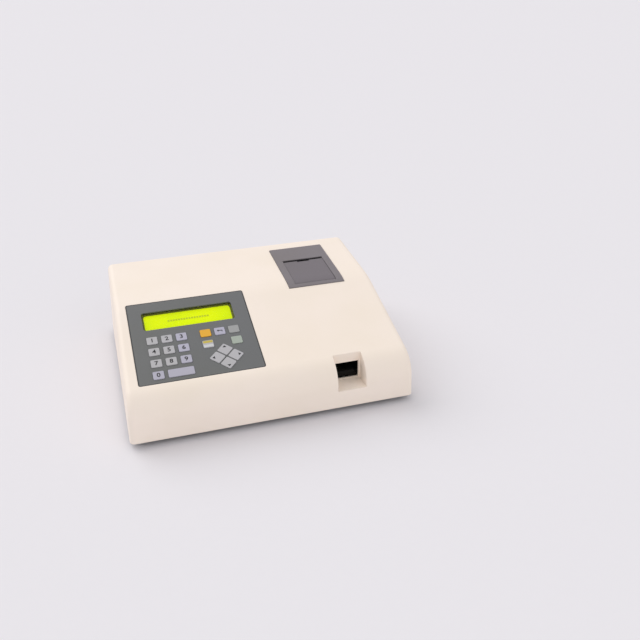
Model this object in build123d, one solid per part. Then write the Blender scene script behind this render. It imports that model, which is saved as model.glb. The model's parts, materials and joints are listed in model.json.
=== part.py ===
from build123d import *
from math import acos, cos, pi, radians, sin, sqrt, tan
import os

# Benchtop urine strip analyzer. Millimetres, +Z up, front face towards -Y.
# Origin: on the table, under the middle of the housing's outline.

# ---------------------------------------------------------------- housing
WIDTH = 330.0              # across the lower edge of the cover
DEPTH = 275.0              # front face to back face
WALL = 3.2                 # moulded cover wall
SIDE_DRAFT = 3.0           # degrees that each side leans inwards
FRONT_EDGE_Z = 58.0        # where the sloping top would meet the front face
FRONT_SLOPE = 15.4         # degrees, the console slope
BEND_Y = 149.0             # front face to the bend between the two top faces
BACK_SLOPE = 1.7           # degrees, the rear top face
FRONT_RADIUS = 30.0        # the rolled front edge
BEND_RADIUS = 100.0
BACK_RADIUS = 12.0
CORNER_RADIUS = 6.5        # side edges, from the front corner over the top
FOOT_HEIGHT = 5.0
COVER_LIFT = 3.0           # the cover's lower edge above the base underside

# ---------------------------------------------------------------- clearances
GAP = 0.3                  # between pieces that move past each other
SEAT_GAP = 0.3             # round a piece dropped into a pocket
RUN = 0.05                 # radial, for a shaft in its bearing
EPS = 1.0                  # how far a cutter passes the face that it cuts

# ---------------------------------------------------------------- base pan
BASE_WALL = 2.0
BASE_CLEARANCE = 1.0       # base pan to the inside of the cover
BASE_RIM = 9.0             # upstand inside the cover
BASE_CORNER = 4.0          # chamfered corners of the pan
POST_SIDE = 9.0            # square posts under the cover, the rear two for screws
POST_INSET_X = 20.0
POST_INSET_Y = 14.0
SCREW_RADIUS = 1.5
SCREW_HEAD_RADIUS = 3.4    # hexagon heads, to the corners
SCREW_HEAD = 2.0
SCREW_LENGTH = 12.0
FOOT_RADIUS = 9.0
FOOT_INSET_X = 36.0
FOOT_INSET_Y = 30.0
VENT_LENGTH = 40.0
VENT_WIDTH = 3.0
VENT_PITCH = 7.0
VENT_COUNT = 8

# ---------------------------------------------------------------- control panel
PANEL_INSET = 17.6         # cover's lower left edge to the panel
PANEL_WIDTH = 141.2
PANEL_LOW = 25.2           # along the slope, from the front corner line
PANEL_LENGTH = 130.4       # along the slope
PANEL_THICK = 1.6
PANEL_SINK = 0.3           # below the console face
PANEL_CORNER = 2.5
PANEL_LEDGE = 4.0          # the rim that carries it in the cover
BOSS_SIDE = 5.0            # square bosses that carry the boards

# display, placed from the panel's rear edge
WINDOW_WIDTH = 107.3
WINDOW_LENGTH = 29.9
WINDOW_FROM_LEFT = 16.0
WINDOW_FROM_REAR = 16.9
WINDOW_CORNER = 3.0
LENS_THICK = 1.2
LENS_MARGIN = 2.0
LCD_GAP = 0.4
LCD_GLASS_THICK = 2.8
LCD_GLASS_MARGIN = 3.0
LCD_FRAME_MARGIN = 3.0
LCD_FRAME_LIP = 0.6
BOARD_THICK = 1.6

# keys, placed from the panel's left and rear edges
KEY_WIDTH = 12.4
KEY_LENGTH = 11.6
KEY_PITCH_X = 16.7
KEY_PITCH_Y = 17.9
KEY_FIRST_ROW = 64.7
NUMBER_FIRST_X = 23.1
FUNCTION_FIRST_X = 84.4
ARROW_X = 101.4
ARROW_ROW = 105.4
ARROW_OFFSET = 10.5
ARROW_SIDE = 13.3
KEY_CORNER = 1.0           # chamfered corners
KEY_PROUD = 0.8
KEY_TRAVEL = 0.6
KEY_GAP = 0.25
KEY_LIP = 0.3              # flange beyond its hole
KEY_FLANGE = 1.0
KEY_CHAMFER = 0.3
KEY_STEM_SIDE = 4.0
KEY_STEM = 1.0
DOME_CLEARANCE = 0.1       # dome top to a fully pressed stem
DOME_HEIGHT = 1.4
DOME_SIDE = 7.0            # square domes, across the foot
DOME_TAPER = 35.0          # degrees
MAT_THICK = 1.0
PAD_MARGIN = 7.5           # keypad board inside the panel's edge
PAD_REAR = 55.5            # keypad board's rear edge from the panel's rear edge
PAD_FRONT = 5.0            # keypad board's front edge from the panel's front edge
MAT_MARGIN = 6.2

# ---------------------------------------------------------------- strip port
PORT_INSET = 76.5          # port's middle to the cover's lower right edge
PORT_WIDTH = 34.0
PORT_DEPTH = 24.0
PORT_FLOOR_Z = 30.5
PORT_WALL = 2.5
PORT_CORNER = 1.2
PORT_WINDOW_WIDTH = 30.0
PORT_WINDOW_TOP = 53.0
PORT_WINDOW_SILL = 0.5

# ---------------------------------------------------------------- strip tray
TRAY_WIDTH = 27.0
TRAY_LENGTH = 125.0
TRAY_BODY_WIDTH = 21.0
TRAY_FLANGE = 2.5
TRAY_THICK = 6.0
TRAY_BOTTOM_Z = 34.0
TRAY_SET_BACK = 0.5        # tray nose behind the port's back wall face
TRAY_TRAVEL = 85.0
STRIP_WIDTH = 5.6
STRIP_DEPTH = 1.6
STRIP_LENGTH = 108.0
STRIP_START = 5.0
DRAIN_WIDTH = 2.0
DRAIN_DEPTH = 0.9
PAD_STOP = 3.0
NOSE_CHAMFER = 1.5

GEAR_MODULE = 1.0
PINION_TEETH = 18
GEAR_ADDENDUM = 0.95
GEAR_DEDENDUM = 1.25
PRESSURE_ANGLE = 20.0
BACKLASH = 0.16
RACK_WIDTH = 6.0
RACK_MARGIN = 6.0          # rack beyond the stroke at each end
PINION_WIDTH = 5.0
PINION_BACK = 18.0         # pinion axis behind the port's back wall
PINION_SHAFT_RADIUS = 1.5

GUIDE_LENGTH = 132.0
GUIDE_WALL = 2.0
GUIDE_FLOOR = 2.0
GUIDE_LIP = 1.5
GUIDE_LIP_REACH = 2.6
GUIDE_SLOT = 7.0
HOOD_WALL = 2.0
LEG_THICK = 2.5
LEG_FOOT = 8.0
CHEEK_THICK = 1.5
CHEEK_LENGTH = 20.0
CHEEK_GAP = 2.0            # pinion side to cheek
TRAY_MOTOR_SIDE = 15.0
TRAY_MOTOR_LENGTH = 14.0
MOTOR_CHAMFER = 1.5
SHAFT_SOCKET = 4.0         # motor shaft inside the can

HEAD_BACK = 52.0           # optical head behind the port's back wall
HEAD_LENGTH = 34.0
HEAD_HEIGHT = 22.0
HEAD_OVER_TRAY = 1.5
HEAD_CHAMFER = 2.0
HEAD_SIDE = 1.0            # wall each side of the tray's way
LENS_SIDE = 12.0           # square glass window
LENS_HEIGHT = 3.0
OPTICS_BOARD_MARGIN = 3.0

# ---------------------------------------------------------------- printer
PRINTER_INSET = 76.3       # printer's middle to the cover's lower right edge
BEZEL_WIDTH = 72.0
BEZEL_LENGTH = 106.7
BEZEL_FRONT = 141.2        # front face to the bezel's front edge
BEZEL_PROUD = 0.8
BEZEL_THICK = 2.0
BEZEL_LEDGE = 3.0
BEZEL_CORNER = 1.5
SKIRT_WALL = 2.0
SKIRT_DEPTH = 4.5
DOOR_WIDTH = 53.0
DOOR_GAP = 0.4
DOOR_BACK = 66.2           # bezel front edge to the door's free edge
DOOR_THICK = 2.5
DOOR_SINK = 0.5            # door face below the bezel face
DOOR_BARREL = 2.6
DOOR_MARGIN = 6.2          # bezel front edge to the door's front edge
DOOR_PIN_RADIUS = 1.0
DOOR_RIB = 1.5
DOOR_RIB_DEPTH = 2.0
THUMB_WIDTH = 16.0
THUMB_DEPTH = 1.0
THUMB_LENGTH = 5.0
PAPER_SLOT = 3.6
CHEEK_WALL = 2.0
CHEEK_INNER = 27.5         # half the distance between the printer's cheeks
PAPER_WIDTH = 50.0
ROLL_RADIUS = 16.0
ROLL_BACK = 28.6           # roll axis behind the door's front edge
ROLL_DROP = 21.0           # roll axis under the door face
SPINDLE_RADIUS = 2.5
TROUGH_GAP = 2.0
TROUGH_WALL = 1.5
TROUGH_CHAMFER = 9.0       # lower edges of the trough
PLATEN_RADIUS = 5.0
PLATEN_LENGTH = 50.0
PLATEN_SHAFT_RADIUS = 2.0
PLATEN_BACK = 9.1          # platen axis behind the door's free edge
PLATEN_DROP = 17.0         # platen axis under the printer face
PRINT_MODULE = 0.8
PLATEN_TEETH = 20
PRINT_PINION_TEETH = 16
PRINT_GEAR_WIDTH = 2.5
PRINT_MESH_ANGLE = -50.0   # degrees from +Y, platen to motor
PRINT_MOTOR_SIDE = 16.0
PRINT_MOTOR_LENGTH = 15.0
PRINT_SHAFT_RADIUS = 1.0
HEAD_THICK = 2.4
PRINT_HEAD_HEIGHT = 15.0
PRINT_HEAD_GAP = 0.3
PRINT_HEAD_WIDTH = 48.0
PRINT_HEAD_CHAMFER = 0.8
CROSS_WALL = 1.6
TEAR_THICK = 0.8
TEAR_HEIGHT = 6.0
TEAR_PITCH = 3.0
TEAR_TOOTH = 0.7

# ---------------------------------------------------------------- rear bay
BAY_INSET = 50.0           # cover's lower left edge to the bay
BAY_WIDTH = 150.0
BAY_LOW = 16.0
BAY_HEIGHT = 42.0
BAY_DEPTH = 6.5
BAY_FRAME = 4.0
PLATE_THICK = 1.5
PLATE_SCREW_RADIUS = 1.0
PLATE_SCREW_HEAD = 1.0
PLATE_SCREW_LENGTH = 4.0    # into the bay's frame
INLET_FROM_LEFT = 26.0
INLET_WIDTH = 27.0
INLET_HEIGHT = 20.0
INLET_FLANGE = 2.0
INLET_FLANGE_THICK = 2.0
INLET_BODY = 20.0
SOCKET_WIDTH = 23.6
SOCKET_HEIGHT = 16.2
SOCKET_DEPTH = 15.0
INLET_CHAMFER = 3.0
SOCKET_CHAMFER = 4.8       # the socket's two upper corners
BLADE_WIDTH = 2.0
BLADE_HEIGHT = 4.0
BLADE_PITCH = 7.0
BLADE_RISE = 2.0
SWITCH_FROM_LEFT = 66.0
SWITCH_WIDTH = 19.0
SWITCH_HEIGHT = 13.0
SWITCH_FLANGE = 1.2
SWITCH_FLANGE_THICK = 1.6
SWITCH_BODY = 14.0
SWITCH_WALL = 1.5
SWITCH_WELL = 4.0          # well beyond the rocker's pin
ROCKER_GAP = 0.3
ROCKER_ANGLE = 7.0         # degrees each side of level
ROCKER_PIN_RADIUS = 1.0
ROCKER_PIVOT = 4.0         # pivot behind the flange face
ROCKER_HUB = 2.2
ROCKER_DISH = 0.4          # middle of the rocker above the flange face
ROCKER_PROUD = 1.0         # its ends above the flange face when level
ROCKER_EDGE = 1.2          # its ends below the flange face
SERIAL_FROM_LEFT = 116.0
SERIAL_WIDTH = 31.0
SERIAL_HEIGHT = 12.5
SERIAL_PLATE = 1.0
SERIAL_SHELL_WIDTH = 16.6
SERIAL_SHELL_HEIGHT = 8.2
SERIAL_SHELL = 5.0
SERIAL_LEAN = 10.0         # degrees, the ends of the D-shaped shell
SERIAL_CHAMFER = 1.5
SERIAL_BODY = 10.0
SERIAL_HOLE_MARGIN = 1.0
JACK_SPACING = 25.0
JACK_RADIUS = 2.5
JACK_HOLE_RADIUS = 1.4
JACK_LENGTH = 5.0

# ---------------------------------------------------------------- boards inside
MAIN_BOARD_INSET = 30.0    # cover's lower left edge to the board
MAIN_BOARD_FROM_FRONT = 59.5
MAIN_BOARD_WIDTH = 130.0
MAIN_BOARD_LENGTH = 100.0
STANDOFF_HEIGHT = 8.0
STANDOFF_SIDE = 6.0
STANDOFF_INSET = 5.0
CHIP_SIDE = 24.0
CHIP_HEIGHT = 2.5
MEMORY_WIDTH = 14.0
MEMORY_LENGTH = 22.0
MEMORY_HEIGHT = 3.0
MEMORY_LEFT = 30.0         # left of the board's middle
MEMORY_PITCH = 40.0
HEADER_LENGTH = 9.0
HEADER_HEIGHT = 9.0
HEADER_WIDTH = 40.0
HEADER_X = 30.0            # each side of the board's middle
HEADER_INSET = 7.0         # header's middle to the board's rear edge
COIL_SIDE = 12.0
COIL_HEIGHT = 6.0
COIL_X = 48.0
COIL_Y = -30.0
CAPACITOR_RADIUS = 5.0
CAPACITOR_HEIGHT = 14.0
CAPACITOR_X = 45.0
SUPPLY_WIDTH = 70.0
SUPPLY_LENGTH = 60.0
SUPPLY_HEIGHT = 32.0
SUPPLY_INSET = 38.0        # cover's lower left edge to the supply
SUPPLY_BEHIND_BOARD = 7.5  # main board's rear edge to the supply
SUPPLY_CHAMFER = 2.0

# ---------------------------------------------------------------- worked out
FRONT = -DEPTH / 2
BACK = DEPTH / 2
COVER_Z = FOOT_HEIGHT + COVER_LIFT
BASE_TOP = FOOT_HEIGHT + BASE_WALL
A1 = radians(FRONT_SLOPE)
A2 = radians(BACK_SLOPE)
TALL = 200.0               # taller than anything in the housing
LEFT = -WIDTH / 2
RIGHT = WIDTH / 2

os.makedirs("parts", exist_ok=True)


def block(low, high):
    """Box between two opposite corners."""
    size = [b - a for a, b in zip(low, high)]
    middle = [(a + b) / 2 for a, b in zip(low, high)]
    return Pos(*middle) * Box(*size)


def rod_x(x0, x1, y, z, radius):
    """Cylinder along X."""
    return Pos((x0 + x1) / 2, y, z) * Rot(0, 90, 0) * Cylinder(radius, x1 - x0)


def rod_y(y0, y1, x, z, radius):
    """Cylinder along Y."""
    return Pos(x, (y0 + y1) / 2, z) * Rot(90, 0, 0) * Cylinder(radius, y1 - y0)


def rod_z(z0, z1, x, y, radius):
    """Cylinder along Z."""
    return Pos(x, y, (z0 + z1) / 2) * Cylinder(radius, z1 - z0)


def along_x(points, x0, x1):
    """Closed outline in (y, z), carried from x0 to x1."""
    face = make_face(Polyline(*[(x0, y, z) for y, z in points], close=True))
    return extrude(face, amount=x1 - x0, dir=(1, 0, 0))


def along_y(points, y0, y1):
    """Closed outline in (x, z), carried from y0 to y1."""
    face = make_face(Polyline(*[(x, y0, z) for x, z in points], close=True))
    return extrude(face, amount=y1 - y0, dir=(0, 1, 0))


def post_z(z0, z1, x, y, side):
    """Square post along Z."""
    return Pos(x, y, (z0 + z1) / 2) * Box(side, side, z1 - z0)


def hexagon(radius, length):
    """Hexagonal prism along +Z from the origin, radius to its corners."""
    return extrude(RegularPolygon(radius, 6), amount=length)


def join(pieces):
    """One compound from separate solids."""
    return Compound(children=[s for p in pieces for s in p.solids()])


def save(node, shape):
    """Write one node."""
    export_step(shape, f"parts/{node}.step")


# ---------------------------------------------------------------- housing shape
def top_height(y, offset=0.0):
    """Height of the top face at y, moved outwards by offset."""
    bend_y = FRONT + BEND_Y - offset * (sin(A1) + sin(A2)) / 2
    bend_z = FRONT_EDGE_Z + tan(A1) * (bend_y - FRONT) + offset / cos(A1)
    radius = BEND_RADIUS + offset
    reach = radius * tan((A1 - A2) / 2)
    if y <= bend_y - reach * cos(A1):
        return bend_z + tan(A1) * (y - bend_y)
    if y >= bend_y + reach * cos(A2):
        return bend_z + tan(A2) * (y - bend_y)
    centre_y = bend_y - reach * cos(A1) + radius * sin(A1)
    centre_z = bend_z - reach * sin(A1) - radius * cos(A1)
    return centre_z + sqrt(radius ** 2 - (y - centre_y) ** 2)


def housing(offset=0.0, low=COVER_Z, x0=-WIDTH / 2, x1=WIDTH / 2):
    """Side profile of the housing, moved outwards by offset, carried from x0 to x1."""
    bend_y = FRONT + BEND_Y - offset * (sin(A1) + sin(A2)) / 2
    bend_z = FRONT_EDGE_Z + tan(A1) * (bend_y - FRONT) + offset / cos(A1)
    front = FRONT - offset
    back = BACK + offset
    front_z = bend_z + tan(A1) * (front - bend_y)
    back_z = bend_z + tan(A2) * (back - bend_y)
    corners = [(front, low), (front, front_z), (bend_y, bend_z), (back, back_z), (back, low)]
    radii = [0, FRONT_RADIUS + offset, BEND_RADIUS + offset, max(0, BACK_RADIUS + offset), 0]
    outline = FilletPolyline(*[(x0, y, z) for y, z in corners], radius=radii, close=True)
    return extrude(make_face(outline), amount=x1 - x0, dir=(1, 0, 0))


def drafted(offset=0.0, low=COVER_Z):
    """The housing's form with leaning sides, moved outwards by offset."""
    foot = WIDTH / 2 + offset + (COVER_Z - low) * tan(radians(SIDE_DRAFT))
    head = foot - (TALL - low) * tan(radians(SIDE_DRAFT))
    span = [(-foot, low), (foot, low), (head, TALL), (-head, TALL)]
    sides = along_y(span, FRONT - 2 * EPS, BACK + 2 * EPS)
    return housing(offset, low, -foot - EPS, foot + EPS) & sides


def rounded():
    """The drafted form with its side edges rounded from the front corner over the top."""
    form = drafted()
    upper = [e for e in form.edges() if e.center().Z > COVER_Z + EPS]
    lengthwise = [e for e in upper if e.bounding_box().size.X < WIDTH / 2]
    return fillet(lengthwise, CORNER_RADIUS)


# The console face's own frame: x across, y up the slope from the front corner, z out.
CONSOLE = Plane(origin=(0, FRONT, FRONT_EDGE_Z), x_dir=(1, 0, 0),
                z_dir=(0, -sin(A1), cos(A1))).location
PANEL_REAR = PANEL_LOW + PANEL_LENGTH
PANEL_LEFT = LEFT + PANEL_INSET
PANEL_X = PANEL_LEFT + PANEL_WIDTH / 2
PANEL_TOP = -PANEL_SINK
PANEL_UNDER = PANEL_TOP - PANEL_THICK


def on_console(x, v, w):
    """Place on the console face: x across, v up the slope, w above the face."""
    return CONSOLE * Pos(x, v, w)


def slab(x, v, top, width, length, thick, corner=0.0):
    """Plate parallel to the console face, with rounded corners if asked."""
    sheet = RectangleRounded(width, length, corner) if corner else Rectangle(width, length)
    return on_console(x, v, top - thick) * extrude(sheet, amount=thick)


# ---------------------------------------------------------------- strip port places
PORT_X = RIGHT - PORT_INSET
PORT_BACK = FRONT + PORT_DEPTH
GUIDE_FRONT = PORT_BACK + PORT_WALL
TRAY_FRONT = PORT_BACK + TRAY_SET_BACK
TRAY_BACK = TRAY_FRONT + TRAY_LENGTH
TRAY_TOP = TRAY_BOTTOM_Z + TRAY_THICK
PINION_Y = GUIDE_FRONT + PINION_BACK
PITCH_RADIUS = GEAR_MODULE * PINION_TEETH / 2
PINION_Z = TRAY_BOTTOM_Z - GEAR_DEDENDUM * GEAR_MODULE - PITCH_RADIUS
GUIDE_INNER = TRAY_WIDTH / 2 + GAP
GUIDE_OUTER = GUIDE_INNER + GUIDE_WALL
GUIDE_FLOOR_TOP = TRAY_BOTTOM_Z - GAP
GUIDE_UNDER = GUIDE_FLOOR_TOP - GUIDE_FLOOR
LIP_UNDER = TRAY_BOTTOM_Z + TRAY_FLANGE + GAP
LIP_TOP = LIP_UNDER + GUIDE_LIP

# ---------------------------------------------------------------- printer places
PRINTER_X = RIGHT - PRINTER_INSET
PRINTER_FRONT = FRONT + BEZEL_FRONT
PRINTER_BACK = PRINTER_FRONT + BEZEL_LENGTH
POCKET_OFFSET = BEZEL_PROUD - BEZEL_THICK
DOOR_TOP = BEZEL_PROUD - DOOR_SINK
DOOR_FRONT = PRINTER_FRONT + DOOR_MARGIN
DOOR_FREE = PRINTER_FRONT + DOOR_BACK
HINGE_Y = DOOR_FRONT + DOOR_BARREL
HINGE_Z = top_height(HINGE_Y, DOOR_TOP - DOOR_BARREL)
SLOT_BACK = DOOR_FREE + PAPER_SLOT
ROLL_Y = DOOR_FRONT + ROLL_BACK
ROLL_Z = top_height(ROLL_Y) - ROLL_DROP
PLATEN_Y = DOOR_FREE + PLATEN_BACK
PLATEN_Z = top_height(PLATEN_Y) - PLATEN_DROP
CHEEK_OUTER = CHEEK_INNER + CHEEK_WALL
TROUGH_RADIUS = ROLL_RADIUS + TROUGH_GAP

# ---------------------------------------------------------------- rear bay places
BAY_LEFT = LEFT + BAY_INSET
BAY_X = BAY_LEFT + BAY_WIDTH / 2
BAY_Z = BAY_LOW + BAY_HEIGHT / 2
BAY_FLOOR = BACK - BAY_DEPTH
PLATE_FRONT = BAY_FLOOR - PLATE_THICK
INLET_X = BAY_LEFT + INLET_FROM_LEFT
SWITCH_X = BAY_LEFT + SWITCH_FROM_LEFT
SERIAL_X = BAY_LEFT + SERIAL_FROM_LEFT
MAIN_BOARD_X = LEFT + MAIN_BOARD_INSET + MAIN_BOARD_WIDTH / 2
MAIN_BOARD_Y = FRONT + MAIN_BOARD_FROM_FRONT + MAIN_BOARD_LENGTH / 2
SUPPLY_X = LEFT + SUPPLY_INSET + SUPPLY_WIDTH / 2
SUPPLY_Y = MAIN_BOARD_Y + MAIN_BOARD_LENGTH / 2 + SUPPLY_BEHIND_BOARD + SUPPLY_LENGTH / 2

POSTS = [(sx * (WIDTH / 2 - POST_INSET_X), y)
         for sx in (-1, 1) for y in (FRONT + POST_INSET_Y, BACK - POST_INSET_Y)]
SCREWS = [(x, y) for x, y in POSTS if y > 0]
FEET = [(sx * (WIDTH / 2 - FOOT_INSET_X), y)
        for sx in (-1, 1) for y in (FRONT + FOOT_INSET_Y, BACK - FOOT_INSET_Y)]


# ---------------------------------------------------------------- cover
def make_cover():
    """Moulded top cover: console, strip port, printer opening and rear bay."""
    outer = rounded()
    cover = outer - drafted(-WALL, COVER_Z - EPS)
    for x, y in POSTS:
        post = post_z(BASE_TOP, TALL, x, y, POST_SIDE)
        cover += post & drafted(-WALL / 2, BASE_TOP)
    for x, y in SCREWS:
        cover -= rod_z(BASE_TOP - EPS, BASE_TOP + SCREW_LENGTH, x, y, SCREW_RADIUS)
    # control panel pocket and the opening under it
    middle = PANEL_LOW + PANEL_LENGTH / 2
    cover -= slab(PANEL_X, middle, PANEL_THICK + EPS, PANEL_WIDTH + 2 * SEAT_GAP,
                  PANEL_LENGTH + 2 * SEAT_GAP, PANEL_THICK + EPS - PANEL_UNDER,
                  PANEL_CORNER + SEAT_GAP)
    cover -= slab(PANEL_X, middle, EPS, PANEL_WIDTH - 2 * PANEL_LEDGE,
                  PANEL_LENGTH - 2 * PANEL_LEDGE, 3 * WALL, PANEL_CORNER)
    # strip port
    half = PORT_WIDTH / 2
    well = block((PORT_X - half - PORT_WALL, FRONT, PORT_FLOOR_Z - PORT_WALL),
                 (PORT_X + half + PORT_WALL, PORT_BACK + PORT_WALL, TALL))
    cover += well & outer
    notch = block((PORT_X - half, FRONT - EPS, PORT_FLOOR_Z), (PORT_X + half, PORT_BACK, TALL))
    upright = notch.edges().filter_by(Axis.Z)
    cover -= fillet([e for e in upright if e.center().Y > PORT_BACK - EPS], PORT_CORNER)
    cover -= block((PORT_X - PORT_WINDOW_WIDTH / 2, PORT_BACK - EPS, PORT_FLOOR_Z + PORT_WINDOW_SILL),
                   (PORT_X + PORT_WINDOW_WIDTH / 2, GUIDE_FRONT + EPS, PORT_WINDOW_TOP))
    # printer pocket and opening
    pocket = block((PRINTER_X - BEZEL_WIDTH / 2 - SEAT_GAP, PRINTER_FRONT - SEAT_GAP, 0),
                   (PRINTER_X + BEZEL_WIDTH / 2 + SEAT_GAP, PRINTER_BACK + SEAT_GAP, TALL))
    cover -= pocket - housing(POCKET_OFFSET, 0)
    inset = BEZEL_LEDGE
    cover -= block((PRINTER_X - BEZEL_WIDTH / 2 + inset, PRINTER_FRONT + inset, BAY_LOW + BAY_HEIGHT),
                   (PRINTER_X + BEZEL_WIDTH / 2 - inset, PRINTER_BACK - inset, TALL))
    # rear bay
    frame = block((BAY_LEFT - BAY_FRAME, BAY_FLOOR, BAY_LOW - BAY_FRAME),
                  (BAY_LEFT + BAY_WIDTH + BAY_FRAME, BACK, BAY_LOW + BAY_HEIGHT + BAY_FRAME))
    cover += frame
    cover -= block((BAY_LEFT, BAY_FLOOR - EPS, BAY_LOW),
                   (BAY_LEFT + BAY_WIDTH, BACK + EPS, BAY_LOW + BAY_HEIGHT))
    for x, z in plate_screws():
        cover -= rod_y(BAY_FLOOR - EPS, BAY_FLOOR + PLATE_SCREW_LENGTH, x, z, PLATE_SCREW_RADIUS)
    return cover


# ---------------------------------------------------------------- base
def make_base():
    """Base pan with its upstand, vents, standoffs and screw holes."""
    half = WIDTH / 2 - WALL - BASE_CLEARANCE
    front = FRONT + WALL + BASE_CLEARANCE
    back = PLATE_FRONT - PLATE_SCREW_HEAD - BASE_CLEARANCE
    width = 2 * half
    length = back - front
    middle = (front + back) / 2
    plate = Rectangle(width, length)
    plate = chamfer(plate.vertices(), BASE_CORNER)
    inner = Rectangle(width - 2 * BASE_WALL, length - 2 * BASE_WALL)
    base = Pos(0, middle, FOOT_HEIGHT) * extrude(plate, amount=BASE_RIM)
    base -= Pos(0, middle, BASE_TOP) * extrude(inner, amount=BASE_RIM)
    for x, y in POSTS:
        # the corner posts of the cover stand in bays of the upstand
        base -= post_z(BASE_TOP, TALL, x, y, POST_SIDE + 2 * GAP)
    for x, y in SCREWS:
        base -= rod_z(0, TALL, x, y, SCREW_RADIUS + GAP)
    for i in range(VENT_COUNT):
        x = SUPPLY_X + (i - (VENT_COUNT - 1) / 2) * VENT_PITCH
        y = SUPPLY_Y
        base -= block((x - VENT_WIDTH / 2, y - VENT_LENGTH / 2, 0),
                      (x + VENT_WIDTH / 2, y + VENT_LENGTH / 2, BASE_TOP + EPS))
    for sx in (-1, 1):
        for sy in (-1, 1):
            x = MAIN_BOARD_X + sx * (MAIN_BOARD_WIDTH / 2 - STANDOFF_INSET)
            y = MAIN_BOARD_Y + sy * (MAIN_BOARD_LENGTH / 2 - STANDOFF_INSET)
            base += post_z(BASE_TOP, BASE_TOP + STANDOFF_HEIGHT, x, y, STANDOFF_SIDE)
    return base


def make_feet():
    """Four rubber feet bonded under the base."""
    return join([rod_z(0, FOOT_HEIGHT, x, y, FOOT_RADIUS) for x, y in FEET])


def make_base_screws():
    """Hexagon-head screws from below into the cover's two rear posts."""
    screws = []
    for x, y in SCREWS:
        head = Pos(x, y, FOOT_HEIGHT - SCREW_HEAD) * hexagon(SCREW_HEAD_RADIUS, SCREW_HEAD)
        shank = rod_z(FOOT_HEIGHT, BASE_TOP + SCREW_LENGTH - GAP, x, y, SCREW_RADIUS - RUN)
        screws.append(head + shank)
    return join(screws)


# ---------------------------------------------------------------- keys
def number_key(column, row):
    """Centre of a key in the number block: (from left, from rear)."""
    return NUMBER_FIRST_X + column * KEY_PITCH_X, KEY_FIRST_ROW + row * KEY_PITCH_Y


def function_key(column, row):
    """Centre of a key in the function block."""
    return FUNCTION_FIRST_X + column * KEY_PITCH_X, KEY_FIRST_ROW + row * KEY_PITCH_Y


WIDE_KEY_WIDTH = KEY_WIDTH + KEY_PITCH_X
# name: (centre from the left edge, centre from the rear edge, width, length, turn)
KEYS = {f"key_{3 * row + column + 1}": (*number_key(column, row), KEY_WIDTH, KEY_LENGTH, 0)
        for row in range(3) for column in range(3)}
KEYS["key_0"] = (*number_key(0, 3), KEY_WIDTH, KEY_LENGTH, 0)
KEYS["key_wide"] = (*number_key(1.5, 3), WIDE_KEY_WIDTH, KEY_LENGTH, 0)
for name, column, row in (("key_start", 0, 0), ("key_upper_middle", 1, 0), ("key_upper_right", 2, 0),
                          ("key_lower_left", 0, 1), ("key_lower_right", 2, 1)):
    KEYS[name] = (*function_key(column, row), KEY_WIDTH, KEY_LENGTH, 0)
for name, across, down in (("key_arrow_up", 0, -1), ("key_arrow_down", 0, 1),
                           ("key_arrow_left", -1, 0), ("key_arrow_right", 1, 0)):
    KEYS[name] = (ARROW_X + across * ARROW_OFFSET, ARROW_ROW + down * ARROW_OFFSET,
                  ARROW_SIDE, ARROW_SIDE, 45)

FLANGE_TOP = PANEL_UNDER - GAP
STEM_END = FLANGE_TOP - KEY_FLANGE - KEY_STEM
DOME_TOP = STEM_END - KEY_TRAVEL - DOME_CLEARANCE
MAT_TOP = DOME_TOP - DOME_HEIGHT
PAD_BOARD_TOP = MAT_TOP - MAT_THICK


def key_prism(key, grow, low, high, corner=KEY_CORNER):
    """Prism on a key's centre, larger than the key by grow on each side."""
    left, rear, width, length, turn = KEYS[key]
    sheet = Rectangle(width + 2 * grow, length + 2 * grow)
    if corner:
        sheet = chamfer(sheet.vertices(), corner)
    place = on_console(PANEL_LEFT + left, PANEL_REAR - rear, low) * Rot(0, 0, turn)
    return place * extrude(sheet, amount=high - low)


def make_key(key):
    """Key cap with its flange under the panel and its stem over the dome."""
    cap = key_prism(key, 0, FLANGE_TOP, PANEL_TOP + KEY_PROUD)
    top = cap.faces().sort_by(Axis((0, 0, 0), (0, -sin(A1), cos(A1))))[-1]
    cap = chamfer(top.edges(), KEY_CHAMFER)
    flange = key_prism(key, KEY_GAP + KEY_LIP, FLANGE_TOP - KEY_FLANGE, FLANGE_TOP, 0)
    left, rear = KEYS[key][:2]
    stem = on_console(PANEL_LEFT + left, PANEL_REAR - rear, STEM_END + KEY_STEM / 2)
    return cap + flange + stem * Box(KEY_STEM_SIDE, KEY_STEM_SIDE, KEY_STEM)


# ---------------------------------------------------------------- control panel
WINDOW_X = PANEL_LEFT + WINDOW_FROM_LEFT + WINDOW_WIDTH / 2
WINDOW_V = PANEL_REAR - WINDOW_FROM_REAR - WINDOW_LENGTH / 2
LENS_UNDER = PANEL_UNDER - LENS_THICK
LCD_TOP = LENS_UNDER - LCD_GAP
LCD_FRAME_WIDTH = WINDOW_WIDTH + 2 * (LCD_GLASS_MARGIN + LCD_FRAME_MARGIN)
LCD_FRAME_LENGTH = WINDOW_LENGTH + 2 * (LCD_GLASS_MARGIN + LCD_FRAME_MARGIN)
LCD_BOARD_TOP = LCD_TOP - LCD_FRAME_LIP - LCD_GLASS_THICK
LCD_BOARD_WIDTH = LCD_FRAME_WIDTH + 2 * (BOSS_SIDE + GAP)
LCD_BOARD_LENGTH = LCD_FRAME_LENGTH
PAD_WIDTH = PANEL_WIDTH - 2 * PAD_MARGIN
PAD_LENGTH = PANEL_LENGTH - PAD_REAR - PAD_FRONT
PAD_V = PANEL_LOW + PAD_FRONT + PAD_LENGTH / 2


def corner_places(x, v, width, length, inset):
    """Four places inset from the corners of a plate."""
    return [(x + sx * (width / 2 - inset), v + sy * (length / 2 - inset))
            for sx in (-1, 1) for sy in (-1, 1)]


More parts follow.
